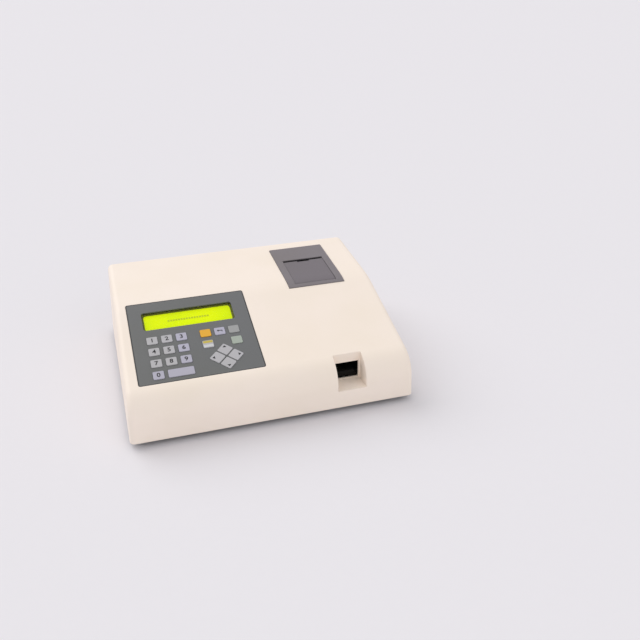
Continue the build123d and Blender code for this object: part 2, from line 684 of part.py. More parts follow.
def make_panel():
    """Control panel plate with its window, key holes and board bosses."""
    middle = PANEL_LOW + PANEL_LENGTH / 2
    panel = slab(PANEL_X, middle, PANEL_TOP, PANEL_WIDTH, PANEL_LENGTH, PANEL_THICK, PANEL_CORNER)
    panel -= slab(WINDOW_X, WINDOW_V, PANEL_TOP + EPS, WINDOW_WIDTH, WINDOW_LENGTH,
                  PANEL_THICK + 2 * EPS, WINDOW_CORNER)
    for key in KEYS:
        panel -= key_prism(key, KEY_GAP, PANEL_UNDER - EPS, PANEL_TOP + EPS)
    lcd = corner_places(WINDOW_X, WINDOW_V, LCD_BOARD_WIDTH, LCD_BOARD_LENGTH, BOSS_SIDE / 2)
    pad = corner_places(PANEL_X, PAD_V, PAD_WIDTH, PAD_LENGTH, BOSS_SIDE / 2)
    for places, low in ((lcd, LCD_BOARD_TOP), (pad, PAD_BOARD_TOP)):
        for x, v in places:
            height = PANEL_UNDER - low
            panel += on_console(x, v, low + height / 2) * Box(BOSS_SIDE, BOSS_SIDE, height)
    return panel


def make_display():
    """Window lens, metal frame, display glass and its board."""
    lens = slab(WINDOW_X, WINDOW_V, PANEL_UNDER, WINDOW_WIDTH + 2 * LENS_MARGIN,
                WINDOW_LENGTH + 2 * LENS_MARGIN, LENS_THICK)
    glass_width = WINDOW_WIDTH + 2 * LCD_GLASS_MARGIN
    glass_length = WINDOW_LENGTH + 2 * LCD_GLASS_MARGIN
    glass = slab(WINDOW_X, WINDOW_V, LCD_TOP - LCD_FRAME_LIP, glass_width, glass_length,
                 LCD_GLASS_THICK)
    frame = slab(WINDOW_X, WINDOW_V, LCD_TOP, LCD_FRAME_WIDTH, LCD_FRAME_LENGTH,
                 LCD_FRAME_LIP + LCD_GLASS_THICK)
    frame -= slab(WINDOW_X, WINDOW_V, LCD_TOP + EPS, WINDOW_WIDTH + LENS_MARGIN,
                  WINDOW_LENGTH + LENS_MARGIN, 2 * EPS + LCD_FRAME_LIP)
    frame -= slab(WINDOW_X, WINDOW_V, LCD_TOP - LCD_FRAME_LIP, glass_width + 2 * RUN,
                  glass_length + 2 * RUN, LCD_GLASS_THICK + EPS)
    board = slab(WINDOW_X, WINDOW_V, LCD_BOARD_TOP, LCD_BOARD_WIDTH, LCD_BOARD_LENGTH, BOARD_THICK)
    return lens, frame, glass, board


def make_keypad():
    """Rubber mat with a dome under each key, and the board that it lies on."""
    mat = slab(PANEL_X, PAD_V, MAT_TOP, PAD_WIDTH - 2 * MAT_MARGIN, PAD_LENGTH - BOSS_SIDE / 2,
               MAT_THICK)
    dome = extrude(Rectangle(DOME_SIDE, DOME_SIDE), amount=DOME_HEIGHT, taper=DOME_TAPER)
    for left, rear, *_ in KEYS.values():
        mat += on_console(PANEL_LEFT + left, PANEL_REAR - rear, MAT_TOP) * dome
    board = slab(PANEL_X, PAD_V, PAD_BOARD_TOP, PAD_WIDTH, PAD_LENGTH, BOARD_THICK)
    return mat, board


# ---------------------------------------------------------------- gears
def spur_gear(module, teeth, width, x0, y, z, turn):
    """Gear on an X axis with straight flanks inside the involute, one tooth at turn radians from +Y."""
    pitch = module * teeth / 2
    pressure = radians(PRESSURE_ANGLE)
    base = pitch * cos(pressure)
    tip = pitch + GEAR_ADDENDUM * module
    root = pitch - GEAR_DEDENDUM * module
    half = pi / (2 * teeth) - BACKLASH * module / (4 * pitch) + tan(pressure) - pressure
    roll = acos(base / tip)
    narrow = half - (tan(roll) - roll)
    points = []
    for tooth in range(teeth):
        middle = turn + 2 * pi * tooth / teeth
        for r, a in ((root, -half), (tip, -narrow), (tip, narrow), (root, half)):
            points.append((y + r * cos(middle + a), z + r * sin(middle + a)))
    return along_x(points, x0, x0 + width)


def make_rack():
    """Teeth under the tray, in mesh with the pinion along the whole stroke."""
    pitch = pi * GEAR_MODULE
    slope = tan(radians(PRESSURE_ANGLE))
    pitch_z = PINION_Z + PITCH_RADIUS
    tip_z = pitch_z - GEAR_ADDENDUM * GEAR_MODULE
    half = pitch / 4 - BACKLASH * GEAR_MODULE / 4
    before = int(RACK_MARGIN / pitch)
    after = int((TRAY_TRAVEL + RACK_MARGIN) / pitch)
    points = []
    for i in range(-before, after + 1):
        # a tooth space of the rack stands over the pinion's tooth at rest
        y = PINION_Y + (i + 0.5) * pitch
        rise = TRAY_BOTTOM_Z - pitch_z
        drop = pitch_z - tip_z
        points += [(y - half - rise * slope, TRAY_BOTTOM_Z), (y - half + drop * slope, tip_z),
                   (y + half - drop * slope, tip_z), (y + half + rise * slope, TRAY_BOTTOM_Z)]
    first = points[0][0]
    last = points[-1][0]
    top = TRAY_BOTTOM_Z + TRAY_FLANGE / 2
    points += [(last, top), (first, top)]
    return along_x(points, PORT_X - RACK_WIDTH / 2, PORT_X + RACK_WIDTH / 2)


# ---------------------------------------------------------------- strip tray
def make_tray():
    """Strip tray: side flanges, strip channel, drains, stop and a rack below."""
    half = TRAY_WIDTH / 2
    body = TRAY_BODY_WIDTH / 2
    step = TRAY_BOTTOM_Z + TRAY_FLANGE
    section = [(-half, TRAY_BOTTOM_Z), (half, TRAY_BOTTOM_Z), (half, step), (body, step),
               (body, TRAY_TOP), (-body, TRAY_TOP), (-body, step), (-half, step)]
    tray = along_y([(PORT_X + x, z) for x, z in section], TRAY_FRONT, TRAY_BACK)
    nose = tray.faces().sort_by(Axis.Y)[0].edges().sort_by(Axis.Z)[-1]
    tray = chamfer(nose, NOSE_CHAMFER)
    start = TRAY_FRONT + STRIP_START
    tray -= block((PORT_X - STRIP_WIDTH / 2, start, TRAY_TOP - STRIP_DEPTH),
                  (PORT_X + STRIP_WIDTH / 2, start + STRIP_LENGTH, TRAY_TOP + EPS))
    for side in (-1, 1):
        x = PORT_X + side * (STRIP_WIDTH / 2 + DRAIN_WIDTH * 1.5)
        tray -= block((x - DRAIN_WIDTH / 2, start + PAD_STOP, TRAY_TOP - DRAIN_DEPTH),
                      (x + DRAIN_WIDTH / 2, start + STRIP_LENGTH, TRAY_TOP + EPS))
    return tray + make_rack()


def make_guide():
    """Channel that the tray runs in, with its hood behind the port, legs and cheeks."""
    inner, outer = GUIDE_INNER, GUIDE_OUTER
    back = GUIDE_FRONT + GUIDE_LENGTH
    reach = inner - GUIDE_LIP_REACH
    section = [(-outer, GUIDE_UNDER), (outer, GUIDE_UNDER), (outer, LIP_TOP), (reach, LIP_TOP),
               (reach, LIP_UNDER), (inner, LIP_UNDER), (inner, GUIDE_FLOOR_TOP),
               (-inner, GUIDE_FLOOR_TOP), (-inner, LIP_UNDER), (-reach, LIP_UNDER),
               (-reach, LIP_TOP), (-outer, LIP_TOP)]
    guide = along_y([(PORT_X + x, z) for x, z in section], GUIDE_FRONT, back)
    # the slot that the rack runs in
    guide -= block((PORT_X - GUIDE_SLOT / 2, GUIDE_FRONT - EPS, GUIDE_UNDER - EPS),
                   (PORT_X + GUIDE_SLOT / 2, back - GUIDE_SLOT, GUIDE_FLOOR_TOP + EPS))
    # dark hood from the port's window to the optical head
    wide = PORT_WINDOW_WIDTH / 2
    roof = PORT_WINDOW_TOP
    end = GUIDE_FRONT + HEAD_BACK - GAP
    hood = block((PORT_X - wide - HOOD_WALL, GUIDE_FRONT, LIP_UNDER),
                 (PORT_X + wide + HOOD_WALL, end, roof + HOOD_WALL))
    hood -= block((PORT_X - wide, GUIDE_FRONT - EPS, LIP_TOP), (PORT_X + wide, end + EPS, roof))
    hood -= block((PORT_X - outer, GUIDE_FRONT - EPS, LIP_UNDER - EPS),
                  (PORT_X + outer, end + EPS, LIP_TOP))
    guide += hood
    # legs down to the base, split over the rack's slot
    for y in (GUIDE_FRONT + LEG_THICK, GUIDE_FRONT + GUIDE_LENGTH / 2, back - 2 * LEG_THICK):
        leg = block((PORT_X - outer, y, BASE_TOP), (PORT_X + outer, y + LEG_THICK, GUIDE_UNDER))
        leg += block((PORT_X - outer, y, BASE_TOP),
                     (PORT_X + outer, y + LEG_FOOT, BASE_TOP + LEG_THICK))
        leg -= block((PORT_X - GUIDE_SLOT / 2, y - EPS, GUIDE_UNDER - LEG_FOOT),
                     (PORT_X + GUIDE_SLOT / 2, y + LEG_FOOT + EPS, TALL))
        guide += leg
    # cheeks that carry the pinion shaft, and the motor on the right one
    near = PINION_WIDTH / 2 + CHEEK_GAP
    for side in (-1, 1):
        x = PORT_X + side * (near + CHEEK_THICK / 2)
        cheek = block((x - CHEEK_THICK / 2, PINION_Y - CHEEK_LENGTH / 2, PINION_Z - CHEEK_LENGTH / 2),
                      (x + CHEEK_THICK / 2, PINION_Y + CHEEK_LENGTH / 2, GUIDE_UNDER))
        cheek -= rod_x(x - CHEEK_THICK, x + CHEEK_THICK, PINION_Y, PINION_Z,
                       PINION_SHAFT_RADIUS + RUN)
        guide += cheek
    return guide


def make_pinion():
    """Drive pinion and its shaft."""
    x0 = PORT_X - PINION_WIDTH / 2
    gear = spur_gear(GEAR_MODULE, PINION_TEETH, PINION_WIDTH, x0, PINION_Y, PINION_Z, pi / 2)
    reach = PINION_WIDTH / 2 + CHEEK_GAP + CHEEK_THICK
    shaft = rod_x(PORT_X - reach, PORT_X + reach + SHAFT_SOCKET, PINION_Y, PINION_Z,
                  PINION_SHAFT_RADIUS)
    return gear + shaft


def stepper(x0, length, y, z, side, turn, shaft_radius):
    """Square stepper motor along X from x0, turned about its shaft, with the shaft's socket."""
    body = Rot(turn, 0, 0) * Box(length, side, side)
    body = Pos(x0 + length / 2, y, z) * chamfer(body.edges().filter_by(Axis.X), MOTOR_CHAMFER)
    return body - rod_x(x0 - EPS, x0 + SHAFT_SOCKET + GAP, y, z, shaft_radius + RUN)


def make_tray_motor():
    """Stepper motor on the guide's right cheek."""
    x0 = PORT_X + PINION_WIDTH / 2 + CHEEK_GAP + CHEEK_THICK
    return stepper(x0, TRAY_MOTOR_LENGTH, PINION_Y, PINION_Z, TRAY_MOTOR_SIDE, 0,
                   PINION_SHAFT_RADIUS)


def make_optics():
    """Optical head over the tray, its lens and its board."""
    front = GUIDE_FRONT + HEAD_BACK
    back = front + HEAD_LENGTH
    middle = (front + back) / 2
    outer = GUIDE_OUTER
    clear = TRAY_TOP + HEAD_OVER_TRAY
    top = LIP_TOP + HEAD_HEIGHT
    head = block((PORT_X - outer, front, LIP_TOP), (PORT_X + outer, back, top))
    head = chamfer(head.edges().group_by(Axis.Z)[-1].filter_by(Axis.Y), HEAD_CHAMFER)
    head -= block((PORT_X - GUIDE_INNER + HEAD_SIDE, front - EPS, LIP_TOP - EPS),
                  (PORT_X + GUIDE_INNER - HEAD_SIDE, back + EPS, clear))
    head -= post_z(clear - EPS, top + EPS, PORT_X, middle, LENS_SIDE + 2 * RUN)
    lens = post_z(clear, clear + LENS_HEIGHT, PORT_X, middle, LENS_SIDE)
    margin = OPTICS_BOARD_MARGIN
    board = block((PORT_X - outer + margin, front + margin, top),
                  (PORT_X + outer - margin, back - margin, top + BOARD_THICK))
    return head, lens, board


# ---------------------------------------------------------------- printer
def printer_block(half, y0, y1, z0=0.0, z1=TALL):
    """Box on the printer's centre line."""
    return block((PRINTER_X - half, y0, z0), (PRINTER_X + half, y1, z1))


def band(top, thick, half, y0, y1):
    """Sheet that follows the housing's top face, cut to a rectangle."""
    sheet = housing(top, 0) - housing(top - thick, -EPS)
    return sheet & printer_block(half, y0, y1, BAY_LOW + BAY_HEIGHT)


def make_bezel():
    """Printer bezel: a flange that follows the cover, with a skirt through the opening."""
    half = BEZEL_WIDTH / 2
    bezel = band(BEZEL_PROUD, BEZEL_THICK, half, PRINTER_FRONT, PRINTER_BACK)
    upright = [e for e in bezel.edges() if e.length < 2 * BEZEL_THICK]
    bezel = fillet(upright, BEZEL_CORNER)
    inset = BEZEL_LEDGE + SEAT_GAP
    skirt = band(POCKET_OFFSET, SKIRT_DEPTH, half - inset, PRINTER_FRONT + inset,
                 PRINTER_BACK - inset)
    inset += SKIRT_WALL
    skirt -= printer_block(half - inset, PRINTER_FRONT + inset, PRINTER_BACK - inset)
    bezel += skirt
    bezel -= printer_block(DOOR_WIDTH / 2 + DOOR_GAP, DOOR_FRONT - DOOR_GAP, SLOT_BACK + TEAR_THICK)
    return bezel


def make_door():
    """Paper door: curved plate, hinge barrel at the front, ribs and a thumb notch."""
    half = DOOR_WIDTH / 2
    door = band(DOOR_TOP, DOOR_THICK, half, HINGE_Y, DOOR_FREE)
    door += rod_x(PRINTER_X - half, PRINTER_X + half, HINGE_Y, HINGE_Z, DOOR_BARREL)
    for x in (-half / 2, half / 2):
        rib = band(DOOR_TOP - DOOR_THICK, DOOR_RIB_DEPTH, DOOR_RIB / 2,
                   HINGE_Y + 2 * DOOR_BARREL, DOOR_FREE - DOOR_BARREL)
        door += Pos(x, 0, 0) * rib
    door -= rod_x(PRINTER_X - half - EPS, PRINTER_X + half + EPS, HINGE_Y, HINGE_Z,
                  DOOR_PIN_RADIUS + RUN)
    z = top_height(DOOR_FREE, DOOR_TOP)
    door -= block((PRINTER_X - THUMB_WIDTH / 2, DOOR_FREE - THUMB_LENGTH, z - THUMB_DEPTH),
                  (PRINTER_X + THUMB_WIDTH / 2, DOOR_FREE + EPS, z + EPS))
    return door


def make_door_pin():
    """Steel hinge pin held in both cheeks."""
    return rod_x(PRINTER_X - CHEEK_OUTER, PRINTER_X + CHEEK_OUTER, HINGE_Y, HINGE_Z, DOOR_PIN_RADIUS)


def make_printer_frame():
    """Moulded frame: two cheeks, the paper trough and the wall behind the print head."""
    front = PRINTER_FRONT + BEZEL_LEDGE + SEAT_GAP + SKIRT_WALL + GAP
    back = PRINTER_BACK - BEZEL_LEDGE - SEAT_GAP - SKIRT_WALL - GAP
    low = ROLL_Z - TROUGH_RADIUS - TROUGH_WALL
    under = housing(POCKET_OFFSET, 0, PRINTER_X - CHEEK_OUTER, PRINTER_X + CHEEK_OUTER)
    cheeks = printer_block(CHEEK_OUTER, front, back, low) - printer_block(CHEEK_INNER, front - EPS,
                                                                         back + EPS, low - EPS)
    frame = cheeks & under
    # trough round the roll, open to the door
    outer = TROUGH_RADIUS + TROUGH_WALL
    inside = printer_block(CHEEK_INNER + EPS, ROLL_Y - TROUGH_RADIUS, ROLL_Y + TROUGH_RADIUS,
                           ROLL_Z - TROUGH_RADIUS, TALL)
    inside = chamfer(inside.edges().filter_by(Axis.X).group_by(Axis.Z)[0], TROUGH_CHAMFER)
    trough = printer_block(CHEEK_INNER, ROLL_Y - outer, ROLL_Y + outer, low,
                           HINGE_Z - 2 * DOOR_BARREL)
    trough = chamfer(trough.edges().filter_by(Axis.X).group_by(Axis.Z)[0], TROUGH_CHAMFER)
    frame += trough - inside
    # wall that the print head sits on
    head_front = PLATEN_Y - PLATEN_RADIUS - PRINT_HEAD_GAP - HEAD_THICK
    frame += printer_block(CHEEK_INNER, head_front - CROSS_WALL, head_front,
                           PLATEN_Z - PRINT_HEAD_HEIGHT, PLATEN_Z + PLATEN_RADIUS)
    # slots for the roll's spindle
    grip = SPINDLE_RADIUS + 2 * RUN
    frame -= rod_x(PRINTER_X - CHEEK_OUTER - EPS, PRINTER_X + CHEEK_OUTER + EPS, ROLL_Y, ROLL_Z, grip)
    frame -= printer_block(CHEEK_OUTER + EPS, ROLL_Y - grip, ROLL_Y + grip, ROLL_Z,
                           HINGE_Z - DOOR_BARREL)
    # bearings
    for y, z, radius in ((HINGE_Y, HINGE_Z, DOOR_PIN_RADIUS + RUN),
                         (PLATEN_Y, PLATEN_Z, PLATEN_SHAFT_RADIUS + RUN)):
        frame -= rod_x(PRINTER_X - CHEEK_OUTER - EPS, PRINTER_X + CHEEK_OUTER + EPS, y, z, radius)
    y, z = motor_axis()
    frame -= rod_x(PRINTER_X - CHEEK_OUTER - EPS, PRINTER_X - CHEEK_INNER + EPS, y, z,
                   PRINT_SHAFT_RADIUS + RUN)
    return frame


def make_roll():
    """Coreless paper roll and the spindle through it."""
    half = PAPER_WIDTH / 2
    paper = rod_x(PRINTER_X - half, PRINTER_X + half, ROLL_Y, ROLL_Z, ROLL_RADIUS)
    spindle = rod_x(PRINTER_X - CHEEK_OUTER, PRINTER_X + CHEEK_OUTER, ROLL_Y, ROLL_Z,
                    SPINDLE_RADIUS)
    return paper - spindle, spindle


def motor_axis():
    """Axis of the printer motor, in mesh with the platen gear."""
    distance = PRINT_MODULE * (PLATEN_TEETH + PRINT_PINION_TEETH) / 2
    angle = radians(PRINT_MESH_ANGLE)
    return PLATEN_Y + distance * cos(angle), PLATEN_Z + distance * sin(angle)


def make_print_drive():
    """Platen roller, shaft and gear, and the motor with its pinion."""
    half = PLATEN_LENGTH / 2
    roller = rod_x(PRINTER_X - half, PRINTER_X + half, PLATEN_Y, PLATEN_Z, PLATEN_RADIUS)
    roller -= rod_x(PRINTER_X - half - EPS, PRINTER_X + half + EPS, PLATEN_Y, PLATEN_Z,
                    PLATEN_SHAFT_RADIUS)
    gear_x = PRINTER_X - CHEEK_OUTER - GAP - PRINT_GEAR_WIDTH
    shaft = rod_x(gear_x, PRINTER_X + CHEEK_OUTER, PLATEN_Y, PLATEN_Z, PLATEN_SHAFT_RADIUS)
    angle = radians(PRINT_MESH_ANGLE)
    gear = spur_gear(PRINT_MODULE, PLATEN_TEETH, PRINT_GEAR_WIDTH, gear_x, PLATEN_Y, PLATEN_Z, angle)
    gear -= rod_x(gear_x - EPS, gear_x + PRINT_GEAR_WIDTH + EPS, PLATEN_Y, PLATEN_Z,
                  PLATEN_SHAFT_RADIUS)
    y, z = motor_axis()
    # a tooth space of the pinion faces the gear's tooth
    facing = angle + pi + pi / PRINT_PINION_TEETH
    pinion = spur_gear(PRINT_MODULE, PRINT_PINION_TEETH, PRINT_GEAR_WIDTH, gear_x, y, z, facing)
    inner = PRINTER_X - CHEEK_INNER
    pinion += rod_x(gear_x, inner + SHAFT_SOCKET, y, z, PRINT_SHAFT_RADIUS)
    motor = stepper(inner, PRINT_MOTOR_LENGTH, y, z, PRINT_MOTOR_SIDE, PRINT_MESH_ANGLE,
                    PRINT_SHAFT_RADIUS)
    return roller, shaft, gear, pinion, motor


def make_print_head():
    """Thermal head plate just off the platen."""
    back = PLATEN_Y - PLATEN_RADIUS - PRINT_HEAD_GAP
    top = PLATEN_Z + PLATEN_RADIUS
    head = printer_block(PRINT_HEAD_WIDTH / 2, back - HEAD_THICK, back, top - PRINT_HEAD_HEIGHT, top)
    return chamfer(head.edges().group_by(Axis.Z)[-1].sort_by(Axis.Y)[-1], PRINT_HEAD_CHAMFER)


def make_tear_bar():
    """Serrated strip along the paper slot."""
    half = DOOR_WIDTH / 2
    top = top_height(SLOT_BACK, BEZEL_PROUD) - TEAR_TOOTH
    count = int(DOOR_WIDTH / TEAR_PITCH)
    start = PRINTER_X - count * TEAR_PITCH / 2
    points = [(PRINTER_X - half, top - TEAR_HEIGHT), (PRINTER_X + half, top - TEAR_HEIGHT),
              (PRINTER_X + half, top - TEAR_TOOTH)]
    for i in range(count, 0, -1):
        x = start + i * TEAR_PITCH
        points += [(x, top - TEAR_TOOTH), (x - TEAR_PITCH / 2, top)]
    points += [(start, top - TEAR_TOOTH), (PRINTER_X - half, top - TEAR_TOOTH)]
    return along_y(points, SLOT_BACK, SLOT_BACK + TEAR_THICK)


# ---------------------------------------------------------------- rear
def bay_block(x, z, width, height, y0, y1, corner=0.0):
    """Box centred on a place of the rear plate, with chamfered edges along Y if asked."""
    box = block((x - width / 2, y0, z - height / 2), (x + width / 2, y1, z + height / 2))
    return chamfer(box.edges().filter_by(Axis.Y), corner) if corner else box


def make_rear_plate():
    """Sheet plate at the bottom of the bay, with the connectors' cut-outs."""
    frame = 2 * BAY_FRAME
    plate = bay_block(BAY_X, BAY_Z, BAY_WIDTH + frame, BAY_HEIGHT + frame, PLATE_FRONT, BAY_FLOOR)
    for x, width, height in ((INLET_X, INLET_WIDTH, INLET_HEIGHT),
                             (SWITCH_X, SWITCH_WIDTH, SWITCH_HEIGHT),
                             (SERIAL_X, SERIAL_SHELL_WIDTH + 2 * SERIAL_HOLE_MARGIN,
                              SERIAL_SHELL_HEIGHT + 2 * SERIAL_HOLE_MARGIN)):
        plate -= bay_block(x, BAY_Z, width, height, PLATE_FRONT - EPS, BAY_FLOOR + EPS)
    for x, z in plate_screws():
        plate -= rod_y(PLATE_FRONT - EPS, BAY_FLOOR + EPS, x, z, PLATE_SCREW_RADIUS + RUN)
    return plate


def plate_screws():
    """Screw places beside the bay, in the middle of its frame's ends."""
    reach = BAY_WIDTH / 2 + BAY_FRAME / 2
    return [(BAY_X - reach, BAY_Z), (BAY_X + reach, BAY_Z)]


def make_plate_screws():
    """Small screws from inside into the bay's frame."""
    screws = []
    for x, z in plate_screws():
        head = Pos(x, PLATE_FRONT, z) * Rot(90, 0, 0) * hexagon(2 * PLATE_SCREW_RADIUS,
                                                               PLATE_SCREW_HEAD)
        end = BAY_FLOOR + PLATE_SCREW_LENGTH - GAP
        screws.append(head + rod_y(PLATE_FRONT, end, x, z, PLATE_SCREW_RADIUS - RUN))
    return join(screws)


def make_inlet():
    """Three-pole mains inlet."""
    face = BAY_FLOOR + INLET_FLANGE_THICK
    inlet = bay_block(INLET_X, BAY_Z, INLET_WIDTH + 2 * INLET_FLANGE, INLET_HEIGHT + 2 * INLET_FLANGE,
                      BAY_FLOOR, face, INLET_CHAMFER)
    inlet += bay_block(INLET_X, BAY_Z, INLET_WIDTH - 2 * RUN, INLET_HEIGHT - 2 * RUN,
                       PLATE_FRONT - INLET_BODY, BAY_FLOOR)
    half_w, half_h = SOCKET_WIDTH / 2, SOCKET_HEIGHT / 2
    cut = SOCKET_CHAMFER
    outline = [(-half_w, -half_h), (half_w, -half_h), (half_w, half_h - cut),
               (half_w - cut, half_h), (cut - half_w, half_h), (-half_w, half_h - cut)]
    inlet -= along_y([(INLET_X + x, BAY_Z + z) for x, z in outline], face - SOCKET_DEPTH, face + EPS)
    for across, up in ((-1, -1), (0, 1), (1, -1)):
        x = INLET_X + across * BLADE_PITCH
        z = BAY_Z + up * BLADE_RISE
        inlet += bay_block(x, z, BLADE_WIDTH, BLADE_HEIGHT, face - SOCKET_DEPTH, face - INLET_FLANGE)
    return inlet


def make_switch():
    """Rocker switch body, open to the back for its rocker."""
    face = BAY_FLOOR + SWITCH_FLANGE_THICK
    body = bay_block(SWITCH_X, BAY_Z, SWITCH_WIDTH + 2 * SWITCH_FLANGE,
                     SWITCH_HEIGHT + 2 * SWITCH_FLANGE, BAY_FLOOR, face)
    body += bay_block(SWITCH_X, BAY_Z, SWITCH_WIDTH - 2 * RUN, SWITCH_HEIGHT - 2 * RUN,
                      PLATE_FRONT - SWITCH_BODY, BAY_FLOOR)
    body -= bay_block(SWITCH_X, BAY_Z, SWITCH_WIDTH - 2 * SWITCH_WALL,
                      SWITCH_HEIGHT - 2 * SWITCH_WALL, face - ROCKER_PIVOT - SWITCH_WELL, face + EPS)
    reach = (SWITCH_HEIGHT - SWITCH_WALL) / 2
    return body + rod_z(BAY_Z - reach, BAY_Z + reach, SWITCH_X, face - ROCKER_PIVOT,
                        ROCKER_PIN_RADIUS)


def make_rocker():
    """Rocker on an upright pin, resting with its left end pressed."""
    face = BAY_FLOOR + SWITCH_FLANGE_THICK
    y = face - ROCKER_PIVOT
    reach = SWITCH_WIDTH / 2 - SWITCH_WALL - ROCKER_GAP
    high = SWITCH_HEIGHT / 2 - SWITCH_WALL - ROCKER_GAP
    half = reach * cos(radians(ROCKER_ANGLE)) - ROCKER_GAP
    tip = ROCKER_PIVOT + ROCKER_PROUD + reach * tan(radians(ROCKER_ANGLE))
    edge = ROCKER_PIVOT - ROCKER_EDGE
    hub = ROCKER_HUB
    outline = [(-half, edge), (-half, tip), (0, ROCKER_PIVOT + ROCKER_DISH), (half, tip),
               (half, edge), (hub, -hub), (-hub, -hub)]
    face_xy = make_face(Polyline(*[(SWITCH_X + a, y + b, BAY_Z - high) for a, b in outline],
                                 close=True))
    rocker = extrude(face_xy, amount=2 * high, dir=(0, 0, 1))
    rocker -= rod_z(0, TALL, SWITCH_X, y, ROCKER_PIN_RADIUS + RUN)
    axis = Axis((SWITCH_X, y, 0), (0, 0, 1))
    return rocker.rotate(axis, ROCKER_ANGLE)


def make_serial():
    """Nine-way D-shaped socket with its two jack posts."""
    face = BAY_FLOOR + SERIAL_PLATE
    serial = bay_block(SERIAL_X, BAY_Z, SERIAL_WIDTH, SERIAL_HEIGHT, BAY_FLOOR, face)
    half_w, half_h = SERIAL_SHELL_WIDTH / 2, SERIAL_SHELL_HEIGHT / 2
    lean = SERIAL_SHELL_HEIGHT * tan(radians(SERIAL_LEAN))
    outline = [(lean - half_w, -half_h), (half_w - lean, -half_h), (half_w, half_h), (-half_w, half_h)]
    shell = along_y([(SERIAL_X + x, BAY_Z + z) for x, z in outline], PLATE_FRONT - SERIAL_BODY,
                    face + SERIAL_SHELL)
    serial += chamfer(shell.edges().filter_by(Axis.Y), SERIAL_CHAMFER)
    for sx in (-1, 1):
        x = SERIAL_X + sx * JACK_SPACING / 2
        serial += Pos(x, face, BAY_Z) * Rot(-90, 0, 0) * hexagon(JACK_RADIUS, JACK_LENGTH)
        serial -= rod_y(BAY_FLOOR, face + JACK_LENGTH + EPS, x, BAY_Z, JACK_HOLE_RADIUS)
    return serial


# ---------------------------------------------------------------- boards inside
def board_part(across, along, low, width, length, height):
    """Block on the main board, placed from the board's middle."""
    return Pos(MAIN_BOARD_X + across, MAIN_BOARD_Y + along, low + height / 2) * Box(width, length,
                                                                                  height)


def make_boards():
    """Main board on its standoffs, its larger parts, and the power supply."""
    low = BASE_TOP + STANDOFF_HEIGHT
    half_w, half_l = MAIN_BOARD_WIDTH / 2, MAIN_BOARD_LENGTH / 2
    board = block((MAIN_BOARD_X - half_w, MAIN_BOARD_Y - half_l, low),
                  (MAIN_BOARD_X + half_w, MAIN_BOARD_Y + half_l, low + BOARD_THICK))
    top = low + BOARD_THICK
    rear = half_l - HEADER_INSET
    parts = [board_part(0, 0, top, CHIP_SIDE, CHIP_SIDE, CHIP_HEIGHT),
             board_part(COIL_X, COIL_Y, top, COIL_SIDE, COIL_SIDE, COIL_HEIGHT)]
    for side in (-1, 1):
        parts.append(board_part(-MEMORY_LEFT, side * MEMORY_PITCH / 2, top, MEMORY_WIDTH,
                                MEMORY_LENGTH, MEMORY_HEIGHT))
        parts.append(board_part(side * HEADER_X, rear, top, HEADER_WIDTH, HEADER_LENGTH,
                                HEADER_HEIGHT))
    parts.append(rod_z(top, top + CAPACITOR_HEIGHT, MAIN_BOARD_X + CAPACITOR_X, MAIN_BOARD_Y,
                       CAPACITOR_RADIUS))
    y = SUPPLY_Y
    supply = block((SUPPLY_X - SUPPLY_WIDTH / 2, y - SUPPLY_LENGTH / 2, BASE_TOP),
                   (SUPPLY_X + SUPPLY_WIDTH / 2, y + SUPPLY_LENGTH / 2, BASE_TOP + SUPPLY_HEIGHT))
    supply = chamfer(supply.edges().filter_by(Axis.Y).group_by(Axis.Z)[-1], SUPPLY_CHAMFER)
    return board, join(parts), supply


# ---------------------------------------------------------------- write all nodes
save("top_cover", make_cover())
save("base_pan", make_base())
save("rubber_feet", make_feet())
save("base_screws", make_base_screws())
save("control_panel", make_panel())
for node, piece in zip(("display_window", "display_frame", "display_glass", "display_board"),
                       make_display()):
    save(node, piece)
for node, piece in zip(("keypad_mat", "keypad_board"), make_keypad()):
    save(node, piece)
for key in KEYS:
    save(key, make_key(key))
save("strip_tray", make_tray())
save("tray_guide", make_guide())
save("tray_pinion", make_pinion())
save("tray_motor", make_tray_motor())
for node, piece in zip(("optical_head", "optical_lens", "optical_board"), make_optics()):
    save(node, piece)
save("printer_bezel", make_bezel())
save("paper_door", make_door())
save("door_pin", make_door_pin())
save("printer_frame", make_printer_frame())
for node, piece in zip(("paper_roll", "roll_spindle"), make_roll()):
    save(node, piece)
for node, piece in zip(("platen_roller", "platen_shaft", "platen_gear", "motor_pinion",
                        "printer_motor"), make_print_drive()):
    save(node, piece)
save("print_head", make_print_head())
save("tear_bar", make_tear_bar())
save("rear_plate", make_rear_plate())
save("rear_plate_screws", make_plate_screws())
save("power_inlet", make_inlet())
save("switch_body", make_switch())
save("power_rocker", make_rocker())
save("serial_port", make_serial())
for node, piece in zip(("main_board", "board_parts", "power_supply"), make_boards()):
    save(node, piece)

motor_y, motor_z = motor_axis()
print("hinge", round(HINGE_Y, 4), round(HINGE_Z, 4), "roll", round(ROLL_Y, 4), round(ROLL_Z, 4))
print("platen", round(PLATEN_Y, 4), round(PLATEN_Z, 4), "motor", round(motor_y, 4), round(motor_z, 4))
print("pinion", round(PINION_Y, 4), round(PINION_Z, 4), "rocker", SWITCH_X,
      BAY_FLOOR + SWITCH_FLANGE_THICK - ROCKER_PIVOT)
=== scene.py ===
"""Looks of a benchtop urine strip analyzer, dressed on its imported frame."""
import json
import logging
import math
from dataclasses import dataclass, field
from enum import Enum

import bmesh
import bpy
from mathutils import Matrix, Vector


